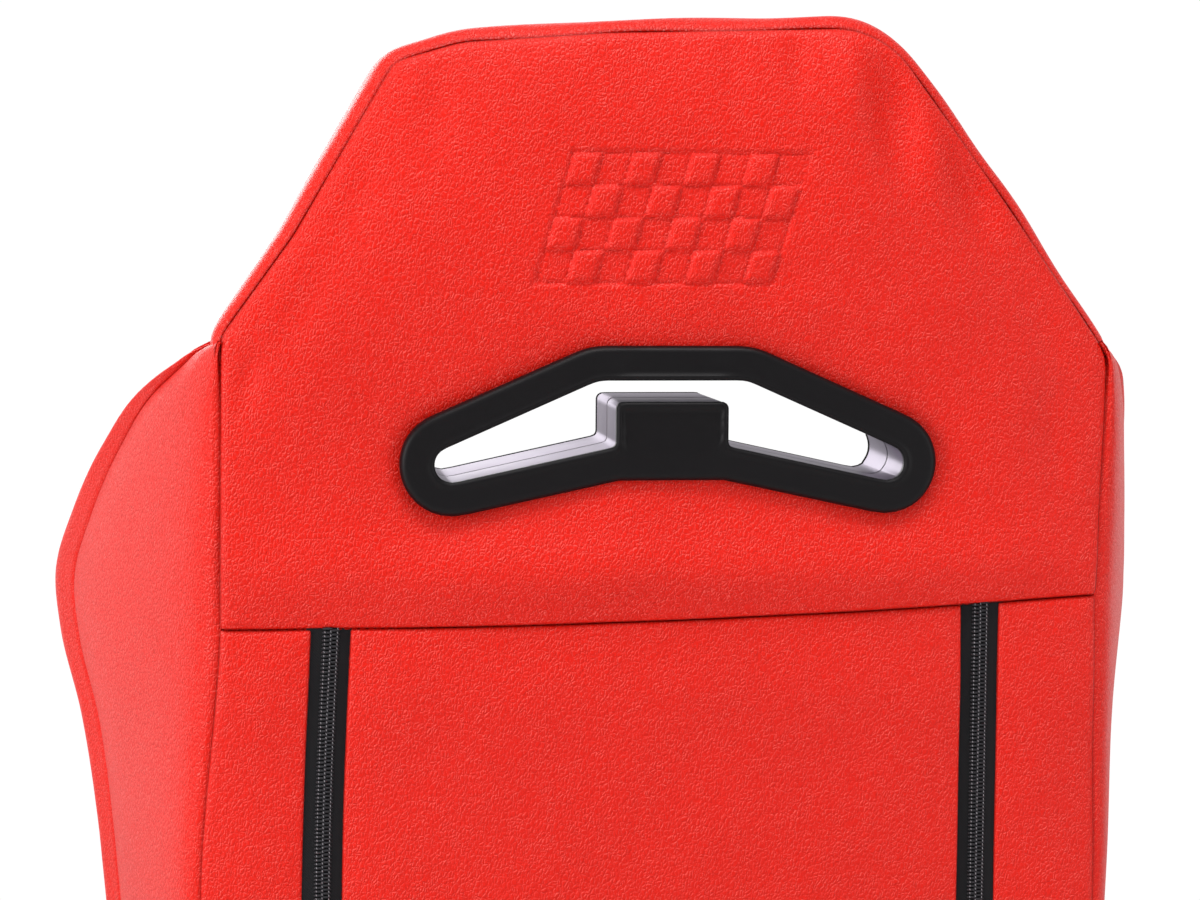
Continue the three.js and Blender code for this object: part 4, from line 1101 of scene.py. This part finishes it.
def build_head_front():
    """The head part's front cover over its outline, rolled into its seam and sunk to the front bezel."""
    u = spaced((0, 0.003), (0.015, 0.009), (0.985, 0.003), 1.0)
    v = spaced((0, 0.008), (0.96, 0.003), 1.0)
    x, z = head_patch(u, v, lambda x: 478.0 + 0 * x)
    to_edge, to_bezel, faces = round_the_slot(x, z)
    y = head_front(x, z, np.maximum(half_width(z), np.abs(x)))
    puffed = 2.5 * (1 - np.exp(-to_edge / 18))
    to_the_bezel = 2.4 * np.exp(-to_bezel / 9)
    y += rolled(to_edge, 8, 7) - puffed
    y += to_the_bezel + 0.4 * ripple(x, z)
    points = np.stack([x, y, z], -1)
    piece = make_piece(
        "head_front", on_back(points), faces, MATERIALS["leather"], inside=on_back([0, 60, 600]), seam=to_edge
    )
    thicken(piece)
    dress(piece, "back", "red_leather", "head_cover", "head_foam", fill=0.5)
    build_head_foot(points[0])


def build_head_foot(edge):
    """The tuck below the head's front, from its lower edge down and back to behind the insert's top."""
    t = np.linspace(0, 1, 14)[:, None]
    x = mix(edge[:, 0], np.clip(edge[:, 0], -INSERT_HALF, INSERT_HALF), ease(t, 0, 1))
    y = edge[:, 1] + 5 * ease(t, 0, 0.3) - 1.6 * np.sin(math.pi * t)
    z = mix(edge[:, 2], INSERT_TOP - 4, t)
    piece = make_piece(
        "head_foot", on_back(np.stack([x, y, z], -1)), grid_faces(*x.shape), MATERIALS["leather"],
        inside=on_back([0, 60, 460]),
    )
    thicken(piece)
    return dress(piece, "back", "red_leather", fill=0.4)


def build_insert():
    """The seat-facing middle: a profile carried across the back, sewn into level channels.

    The profile runs down over a bell-shaped lumbar bulge and round an arc about the recliner axis.
    """
    level = np.linspace(INSERT_TOP, 46, 260)
    front = -25 - 12 * bump(level, 175, 95)
    straight = np.stack([front, level], 1)
    turn = np.linspace(math.radians(135), math.radians(285), 60)
    arc = INSERT_ROLL * np.stack([np.cos(turn), np.sin(turn)], 1)
    join = np.array([[front[-1] * 0.55 + arc[0, 0] * 0.45, 38.0]])
    path = resampled(smoothed(np.concatenate([straight, join, arc]), 8), INSERT_STEP)
    ahead = np.gradient(path, axis=0)
    ahead /= np.linalg.norm(ahead, axis=1, keepdims=True)
    out = np.stack([ahead[:, 1], -ahead[:, 0]], 1)
    run = np.arange(len(path)) * INSERT_STEP
    puff = channels(run, height=4.6, groove=1.8, groove_width=1.1) * (1 - ease(run, SEWN_RUN, SEWN_RUN + 25))
    x = spaced((-INSERT_HALF, 0.8), (-INSERT_HALF + 6, 4), (INSERT_HALF - 6, 0.8), INSERT_HALF)
    to_edge = INSERT_HALF - np.abs(x)
    sink = rolled(to_edge, 7, 7) - 2 * (1 - np.exp(-to_edge / 20))
    sink = sink[None] + rolled(run, 6, 6)[:, None]
    rise = puff[:, None] * (1 - np.exp(-to_edge / 9))[None] - sink
    rise = rise + 0.5 * np.sin(x[None] / 23 + run[:, None] / 29)
    y = path[:, :1] + out[:, :1] * rise
    z = path[:, 1:] + out[:, 1:] * rise
    points = np.stack([np.broadcast_to(x, y.shape), y, z], -1)
    piece = make_piece(
        "back_insert", on_back(points), grid_faces(*y.shape), MATERIALS["leather"],
        inside=on_back([0, 30, 250]),
    )
    thicken(piece)
    dress(piece, "back", "red_leather", "back_insert_cover", "back_insert_foam", fill=0.6)
    pitch = bpy.context.scene.seat_sizes.channel_pitch / MM
    for number in range(1, int(SEWN_RUN / pitch) + 1):
        line = on_back(points[int(round(number * pitch / INSERT_STEP)), 4:-4])
        add_stitches(f"insert_thread_{number}", line, turned([0, -1, 0]) + 0 * line, "back")


# ---------------------------------------- harness slot

def level_ring(outline, y):
    """The points of an outline (x, z) at one depth y, or at a depth for each of them."""
    return np.stack([outline[:, 0], np.broadcast_to(y, len(outline)), outline[:, 1]], 1)


def closed_rings(name, rings, material):
    """A ring-shaped solid through outlines (m, 3), closed both ways, facing out by its signed volume."""
    points = on_back(np.stack(rings))
    faces = grid_faces(len(rings), points.shape[1], closed_rows=True, closed_columns=True)
    corners = points.reshape(-1, 3)[faces]
    volume = np.einsum("ij,ij->i", corners[:, 0], np.cross(corners[:, 1], corners[:, 2])).sum()
    volume += np.einsum("ij,ij->i", corners[:, 0], np.cross(corners[:, 2], corners[:, 3])).sum()
    if volume < 0:
        faces = faces[:, ::-1]
    return add_mesh(name, points.reshape(-1, 3), faces, material)


BEZEL_RISE = 4.0
FACE_SHARES = (
    0, 0.012, 0.03, 0.06, 0.1, 0.15, 0.21, 0.3, 0.42, 0.55, 0.67, 0.76, 0.83, 0.88, 0.92, 0.95, 0.975, 0.99,
    1.0,
)


def bezel_face(inner, outer, share):
    """One ring of the bezel's face, at a share of the way outwards, and how high it stands.

    A flat face with a bell-shaped lip inside and a quarter ellipse over its shoulder outside. The tab is
    sunk a little, and the whole bezel is bowed along x.
    """
    ring = mix(inner, outer, share)
    to_inner = distance_to(ring, inner)
    to_outer = distance_to(ring, outer)
    x, z = ring[:, 0], ring[:, 1] - SLOT["height"]
    rise = BEZEL_RISE - rolled(to_outer, 3.4, BEZEL_RISE) - rolled(to_inner, 1.0, 1.0)
    rise = rise + 0.7 * bump(to_inner, 1.9, 0.8)
    tab = ease(SLOT["tab_half"] - np.abs(x), 2.2, 3.4) * ease(z, SLOT["base"] + 0.6, SLOT["base"] + 2.2)
    tab = tab * ease(to_inner, 2.2, 3.4)
    return ring, rise - 1.1 * tab - 1.2 * (x / 130) ** 2


def build_bezel(word, foot, direction, node):
    """A bezel standing on a plane y = foot, facing rearwards or forwards."""
    inner, outer = roof_raised(slot_outline(0), foot), slot_outline(BEZEL_BAND, tab=False)
    rings = []
    for share in FACE_SHARES:
        ring, rise = bezel_face(inner, outer, share)
        rings.append(level_ring(ring, foot + direction * rise))
    for share, rise in ((1.0, -4.0), (0.97, -4.4), (0.5, 0.15), (0.03, 0.15), (0.0, 0.15)):
        rings.append(level_ring(mix(inner, outer, share), foot + direction * rise))
    piece = closed_rings(f"slot_bezel_{word}", rings, MATERIALS["moulding"])
    return dress(piece, "back", "black_plastic", node)


def build_sleeve(word, rear, front, node):
    """Half of the sleeve: the slot's outline carried through the back, with small rounded ends."""
    inner, outer = slot_outline(0.15), slot_outline(2.2)
    profile = [
        (0.5, rear), (0.2, rear - 0.2), (0.03, rear - 0.6), (0, rear - 1.3), (0, front + 1.3),
        (0.03, front + 0.6), (0.2, front + 0.2), (0.5, front), (0.9, front + 0.4), (1, front + 1.2),
        (1, rear - 1.2), (0.9, rear - 0.4),
    ]
    rings = [level_ring(roof_raised(mix(inner, outer, share), y), y) for share, y in profile]
    piece = closed_rings(f"slot_sleeve_{word}", rings, MATERIALS["silver"])
    return dress(piece, "back", "chrome_trim", node)


# ---------------------------------------- zips

def along_zip(side, offset, y, heights):
    """Points beside a zip's middle at a depth y."""
    return on_back(np.stack([zip_x(side, heights) + offset, np.full_like(heights, y), heights], 1))


def build_zip(word, side):
    """A zip: a woven tape, two rows of nylon coil meshing along its middle, and the thread that holds them.

    The tape is a sheet with a flat-topped rise under the coil and a bell-shaped rib on each side of it.
    """
    centre = ZIP_X[side]
    face = rear_surface(centre) - 3.2
    top = float(yoke_seam_at(centre)) + 2
    tape_half = ZIP_HALF_OPENING + 2.5
    x, z = np.meshgrid(np.linspace(-tape_half, tape_half, 28), np.linspace(HEM + 1, top, 170))
    y = face - 0.3 + 0.9 * np.exp(-((x / 4.6) ** 4)) + 0.2 * bump(np.abs(x), 6.2, 0.9)
    tape = make_piece(
        f"zip_tape_{word}_woven", on_back(np.stack([x + zip_x(side, z), y, z], -1)), grid_faces(*x.shape),
        MATERIALS["tape"], inside=on_back([centre, -100, 300]),
    )
    thicken(tape, 1.0)
    dress(tape, "back", "zip_fabric", f"zip_tape_{word}")

    heights = np.arange(HEM + 4, top - 1, COIL_PITCH / 2)
    offset = np.where(np.arange(len(heights)) % 2 == 0, 1.7, -1.7)
    line = along_zip(side, offset, face + 1.25, heights)
    across, out = turned([1, 0, 0]), turned([0, 1, 0])
    template, faces = bead(5.0 * MM, 1.25 * MM, 1.7 * MM, rings=6, sides=8)
    coil = copies_along(
        f"zip_coil_{word}", template, faces, line, across + 0 * line, out + 0 * line, MATERIALS["coil"]
    )
    dress(coil, "back", "zip_fabric")

    rows = []
    for x_row, phase in ((-3.1, 0.0), (0.1, 0.6), (2.9, 0.3)):
        rows.append(along_zip(side, x_row, face + 2.06, np.arange(HEM + 4 + phase, top - 1.5, COIL_PITCH)))
    line = np.concatenate(rows)
    slanting_up = turned([0.25, 0, 1])
    template, faces = bead(1.15 * MM, 0.5 * MM, 0.4 * MM, rings=2, sides=5)
    thread = copies_along(
        f"zip_thread_{word}", template, faces, line, slanting_up + 0 * line, out + 0 * line,
        MATERIALS["pale_thread"],
    )
    dress(thread, "back", "zip_fabric")


def build_zip_hardware(word, side):
    """The slider and its pull: the nodes' own shapes moved sideways onto the sewn chain and softly edged."""
    for part in ("slider", "pull"):
        name = f"zip_{part}_{word}"
        mesh = frame["nodes"][name].data
        points = np.empty(len(mesh.vertices) * 3)
        mesh.vertices.foreach_get("co", points)
        points = points.reshape(-1, 3)
        middle = (points[:, 0].min() + points[:, 0].max()) / 2
        points[:, 0] += ZIP_X[side] * MM - middle
        faces = np.empty(len(mesh.polygons) * 3, int)
        mesh.polygons.foreach_get("vertices", faces)
        piece = add_mesh(f"{name}_cast", points, faces.reshape(-1, 3), MATERIALS["gunmetal"], smooth=False)
        soften(piece, 0.5 * MM)
        dress(piece, name, "zip_metal", name)


# ---------------------------------------- cushion

def cushion_surface():
    """Sections across the cushion, each a smooth curve from one lower edge over both bolsters to the other.

    They follow the track from rear to front. The middle is puffed into channels and parted from the
    bolsters by a groove, and a crease runs along the bolsters' shoulders.
    """
    count = len(CUSHION_TRACK) - 1
    run = spaced((0, 0.12), (2, 0.042), (8, 0.06), (count - 3, 0.11), float(count))
    y, insert, bolster = spline(CUSHION_TRACK, run).T
    bottom = np.full_like(y, CUSHION_BOTTOM)
    half, ridge, edge = CUSHION_HALF, CUSHION_HALF - 34, INSERT_HALF
    lift = np.maximum(bolster - bottom, 2)
    controls = [
        (half - 10, bottom), (half - 2, bottom + 0.16 * lift), (half, bottom + 0.5 * lift),
        (half - 3, bottom + 0.8 * lift), (half - 14, bottom + 0.965 * lift), (ridge, bolster),
        (ridge - 20, mix(insert, bolster, 0.84)), (edge + 14, mix(insert, bolster, 0.3)),
        (edge, insert - 1.5), (edge - 22, insert + 2), (edge / 2, insert + 5.5), (0, insert + 6.5),
    ]
    right = np.stack([np.stack([x + 0 * z, z], -1) for x, z in controls], 1)
    left = right[:, -2::-1] * [-1, 1]
    section = np.concatenate([right, left], 1)
    across = spaced((0, 0.14), (7, 0.07), (9.2, 0.17), (12.8, 0.07), (15, 0.14), 22.0)
    flat = spline(section, across)
    x, z = flat[..., 0], flat[..., 1]
    y = np.broadcast_to(y[:, None], x.shape)
    middle = ease(edge - np.abs(x), 0, 12) * ease(z, CUSHION_BOTTOM + 50, CUSHION_BOTTOM + 64)
    puff = channels(y + 400, height=4.5, groove=2, groove_width=1.2)
    z = z + puff * middle * ease(-y, -90, -60) * ease(y, -318, -300)
    groove = bump(np.abs(x) - edge, 1, 2.6) * ease(z, CUSHION_BOTTOM + 40, CUSHION_BOTTOM + 60)
    z = z - 5 * groove
    crease = bump(z - CUSHION_BOTTOM, 0.9 * lift[:, None], 3.2) * ease(np.abs(x), half - 20, half - 8)
    x = x - np.sign(x) * 2.4 * crease
    z = z + 0.5 * np.sin(x / 37 + y / 29) * ease(z, CUSHION_BOTTOM + 20, CUSHION_BOTTOM + 60)
    return np.stack([x, y, z], -1)


def build_cushion():
    """The cushion's cover, the lining under it and the thread in the seams beside its middle."""
    points = cushion_surface()
    rows, columns = points.shape[:2]
    piece = make_piece(
        "seat_cushion", on_base(points), grid_faces(rows, columns), MATERIALS["leather"],
        inside=on_base([0, -120, 100]),
    )
    thicken(piece)
    dress(piece, "base", "red_leather", "cushion_cover", "cushion_foam", fill=0.7)
    build_cushion_lining()
    for word, side in SIDES:
        column = np.argmin(np.abs(points[rows // 2, :, 0] - side * (INSERT_HALF + 1)))
        line = on_base(points[6:-26, column])
        add_stitches(f"cushion_seam_thread_{word}", line, np.array([0, 0, 1.0]) + 0 * line, "base")


def build_cushion_lining():
    """The black lining under the cushion: a slightly arched sheet just inside its lower edges."""
    across = np.linspace(-CUSHION_HALF + 12, CUSHION_HALF - 12, 60)
    x, y = np.meshgrid(across, np.linspace(100, -340, 60))
    z = CUSHION_BOTTOM + 3 + 2 * bump(x, 0, 200)
    piece = make_piece(
        "cushion_lining", on_base(np.stack([x, y, z], -1)), grid_faces(*x.shape), MATERIALS["lining"],
        inside=on_base([0, -100, 200]),
    )
    thicken(piece, 1.0)
    return dress(piece, "base", "red_leather")


# ---------------------------------------- carried-over steel and plastic

NODE_FINISH = {
    "painted_steel": "coat", "zinc_steel": "zinc", "black_plastic": "moulding", "chrome_trim": "silver",
    "zip_metal": "gunmetal", "zip_fabric": "tape", "red_leather": "leather", "padding_foam": "lining",
}


def finish_nodes():
    """Gives every carried-over node its finish, merges its loose triangles and rounds its edges a little."""
    slots = {part["node"]: part["material_slot"] for part in frame["record"]["subparts"]}
    for name, node in frame["nodes"].items():
        material = MATERIALS[NODE_FINISH[slots[name]]]
        if node.material_slots:
            node.material_slots[0].material = material
        else:
            node.data.materials.append(material)
        soften(node, 0.6 * MM)


# ---------------------------------------- floor, light and camera

CAMERA = {
    "azimuth": 172.49, "elevation": -5.19, "roll": -0.958, "place": (0.1978, 1.5505, 0.6065), "lens": 78.54,
}


def build_camera():
    """The camera: it looks against the direction of its azimuth and elevation, rolled about that axis."""
    azimuth, elevation, roll = (math.radians(CAMERA[key]) for key in ("azimuth", "elevation", "roll"))
    level = math.cos(elevation)
    back = Vector((math.sin(azimuth) * level, -math.cos(azimuth) * level, math.sin(elevation)))
    right = Vector((0, 0, 1)).cross(back).normalized()
    up = back.cross(right)
    c, s = math.cos(roll), math.sin(roll)
    rolled_right, rolled_up = c * right + s * up, c * up - s * right
    data = bpy.data.cameras.new("camera")
    data.lens = CAMERA["lens"]
    data.sensor_width = 36
    camera = bpy.data.objects.new("camera", data)
    axes = Matrix((rolled_right, rolled_up, back)).transposed()
    camera.matrix_world = Matrix.Translation(CAMERA["place"]) @ axes.to_4x4()
    bpy.context.scene.collection.objects.link(camera)
    bpy.context.scene.camera = camera


def add_area_light(name, place, target, size, power):
    """A rectangular light of a size in metres and a power in watts, turned to its target."""
    data = bpy.data.lights.new(name, "AREA")
    data.shape = "RECTANGLE"
    data.size, data.size_y = size
    data.energy = power
    light = bpy.data.objects.new(name, data)
    direction = Vector(target) - Vector(place)
    light.rotation_euler = direction.to_track_quat("-Z", "Y").to_euler()
    light.location = place
    bpy.context.scene.collection.objects.link(light)


def build_world():
    """An even white surround to look at; as a light, brighter from in front of the seat than elsewhere."""
    world = bpy.data.worlds.new("studio")
    world.use_nodes = True
    tree = world.node_tree
    shader = tree.nodes["Background"]
    direction = tree.nodes.new("ShaderNodeTexCoord").outputs["Generated"]
    toward = add_node(tree, "ShaderNodeSeparateXYZ", Vector=direction)
    lit = add_node(
        tree, "ShaderNodeMapRange", {"interpolation_type": "SMOOTHSTEP"},
        Value=toward.outputs["Y"], From_Min=-0.15, From_Max=-0.75, To_Min=0.34, To_Max=1.0,
    )
    seen = tree.nodes.new("ShaderNodeLightPath").outputs["Is Camera Ray"]
    strength = add_node(tree, "ShaderNodeMix", {"data_type": "FLOAT"}, i0=seen, i2=lit.outputs[0], i3=1.02)
    tree.links.new(strength.outputs[0], shader.inputs["Strength"])
    shader.inputs["Color"].default_value = (1, 1, 1, 1)
    bpy.context.scene.world = world


def build_floor():
    """A plain pale floor: a flat grid half a millimetre under the seat."""
    line = np.linspace(-4.4, 4.4, 40)
    x, y = np.meshgrid(line, line)
    points = np.stack([x, y, 0 * x - 0.5 * MM], -1)
    made, tree, shader = start_material("pale_floor", (0.86, 0.86, 0.86), 0.6)
    patches = add_node(tree, "ShaderNodeTexNoise", Scale=3.0, Detail=4.0)
    two_tones(tree, shader, patches.outputs["Fac"], (0.84, 0.84, 0.84), (0.88, 0.88, 0.88))
    floor = make_piece("floor", points, grid_faces(*x.shape), made, inside=(0, 0, -1))


# ---------------------------------------- settings, operators and panel

class SeatSizes(bpy.types.PropertyGroup):
    """Sizes of the seat's sewing."""

    stitch_pitch: FloatProperty(
        name="Stitch pitch", description="Distance between stitches", default=0.0038, min=0.002, unit="LENGTH"
    )
    channel_pitch: FloatProperty(
        name="Channel pitch", description="Distance between sewn channels", default=0.044, min=0.02,
        unit="LENGTH",
    )


class SeatFinish(bpy.types.PropertyGroup):
    """Colours and grain of the seat's materials."""

    leather: FloatVectorProperty(
        name="Leather", description="Colour of the synthetic leather", default=(0.78, 0.0095, 0.002),
        subtype="COLOR",
    )
    plastic: FloatVectorProperty(
        name="Plastic", description="Colour of the black mouldings", default=(0.0035, 0.0026, 0.0035),
        subtype="COLOR",
    )
    silver: FloatVectorProperty(
        name="Silver", description="Colour of the plated sleeve", default=(0.4, 0.38, 0.415), subtype="COLOR"
    )
    pebble: FloatProperty(
        name="Pebble", description="Pebbles of the leather's grain in a metre", default=590.0, min=100.0
    )


class SeatOperator:
    """What all of the seat's operators share."""

    bl_options = {"REGISTER", "UNDO"}

    def execute(self, context):
        self.build()
        return {"FINISHED"}


class SEAT_OT_materials(SeatOperator, bpy.types.Operator):
    """Make the materials and finish the carried-over nodes"""

    bl_idname = "seat.materials"
    bl_label = "Materials"

    def build(self):
        build_materials()
        finish_nodes()


class SEAT_OT_rear_cover(SeatOperator, bpy.types.Operator):
    """Make the yoke and the panels beside the zips"""

    bl_idname = "seat.rear_cover"
    bl_label = "Rear cover"

    def build(self):
        build_yoke()
        build_lower_panel(
            "rear_side_right", at_wing(-1), beside_zip(-1, -1), ["rear_side_panel_right"], (True, False)
        )
        build_lower_panel(
            "rear_centre", beside_zip(-1, 1), beside_zip(1, -1), ["rear_centre_panel"], (False, False)
        )
        build_lower_panel(
            "rear_side_left", beside_zip(1, 1), at_wing(1), ["rear_side_panel_left"], (False, True)
        )
        x = np.linspace(SEAM_HALF - 3, -SEAM_HALF + 4, 200)
        build_seam("yoke_seam", np.stack([x, rear_surface(x) - 3.4, yoke_seam_at(x)], 1), (0, 1, 0))


class SEAT_OT_wings(SeatOperator, bpy.types.Operator):
    """Make both wings with their side panels"""

    bl_idname = "seat.wings"
    bl_label = "Wings"

    def build(self):
        for word, side in SIDES:
            build_wing(word, side)


class SEAT_OT_front_cover(SeatOperator, bpy.types.Operator):
    """Make the band round the head part, its front and the channelled insert"""

    bl_idname = "seat.front_cover"
    bl_label = "Front cover"

    def build(self):
        build_band()
        build_head_front()
        build_insert()


class SEAT_OT_slot(SeatOperator, bpy.types.Operator):
    """Make the harness slot's bezels and sleeve"""

    bl_idname = "seat.slot"
    bl_label = "Harness slot"

    def build(self):
        build_bezel("rear", SLOT_REAR, 1, "rear_bezel")
        build_bezel("front", -15.3, -1, "front_bezel")
        build_sleeve("rear", 56.7, 24.3, "rear_sleeve")
        build_sleeve("front", 24.0, -15.0, "front_sleeve")


class SEAT_OT_zips(SeatOperator, bpy.types.Operator):
    """Make both zips"""

    bl_idname = "seat.zips"
    bl_label = "Zips"

    def build(self):
        for word, side in SIDES:
            build_zip(word, side)
            build_zip_hardware(word, side)


class SEAT_OT_cushion(SeatOperator, bpy.types.Operator):
    """Make the cushion"""

    bl_idname = "seat.cushion"
    bl_label = "Cushion"

    def build(self):
        build_cushion()


class SEAT_OT_stage(SeatOperator, bpy.types.Operator):
    """Make the floor, the lights and the camera"""

    bl_idname = "seat.stage"
    bl_label = "Stage"

    def build(self):
        build_camera()
        build_world()
        build_floor()
        target = (0, 0.2, 0.7)  # then each light's name, place, target, size and power
        add_area_light("left", (2.3, 1.2, 1.1), target, (1.2, 1.8), 36)
        add_area_light("above", (0.1, 1.2, 2.5), target, (1.6, 0.7), 28)
        add_area_light("behind", (0.2, 2.9, 1.85), target, (1.5, 0.5), 5)
        add_area_light("right", (-1.85, 1.75, 0.8), target, (0.6, 1.5), 10)
        add_area_light("front", (0.6, -2.4, 1.9), target, (1.6, 1.6), 26)
        bpy.context.scene.view_settings.view_transform = "Standard"


class SEAT_PT_panel(bpy.types.Panel):
    """Lists the seat's settings and makers"""

    bl_label = "Sports seat"
    bl_idname = "SEAT_PT_panel"
    bl_space_type = "VIEW_3D"
    bl_region_type = "UI"
    bl_category = "Seat"

    def draw(self, context):
        for settings in (context.scene.seat_sizes, context.scene.seat_finish):
            for key in settings.__annotations__:
                self.layout.prop(settings, key)
        for maker in MAKERS:
            self.layout.operator(maker.bl_idname)


MAKERS = (
    SEAT_OT_stage, SEAT_OT_materials, SEAT_OT_rear_cover, SEAT_OT_wings, SEAT_OT_front_cover, SEAT_OT_slot,
    SEAT_OT_zips, SEAT_OT_cushion,
)
CLASSES = (SeatSizes, SeatFinish, *MAKERS, SEAT_PT_panel)


def register():
    for each in CLASSES:
        bpy.utils.register_class(each)
    bpy.types.Scene.seat_sizes = PointerProperty(type=SeatSizes)
    bpy.types.Scene.seat_finish = PointerProperty(type=SeatFinish)


def unregister():
    del bpy.types.Scene.seat_finish
    del bpy.types.Scene.seat_sizes
    for each in reversed(CLASSES):
        bpy.utils.unregister_class(each)


def main():
    """Makes the whole seat and its stage."""
    register()
    bpy.ops.seat.stage()
    bpy.ops.seat.materials()
    bpy.ops.seat.rear_cover()
    bpy.ops.seat.wings()
    bpy.ops.seat.front_cover()
    bpy.ops.seat.slot()
    bpy.ops.seat.zips()
    bpy.ops.seat.cushion()


if __name__ == "__main__":
    main()
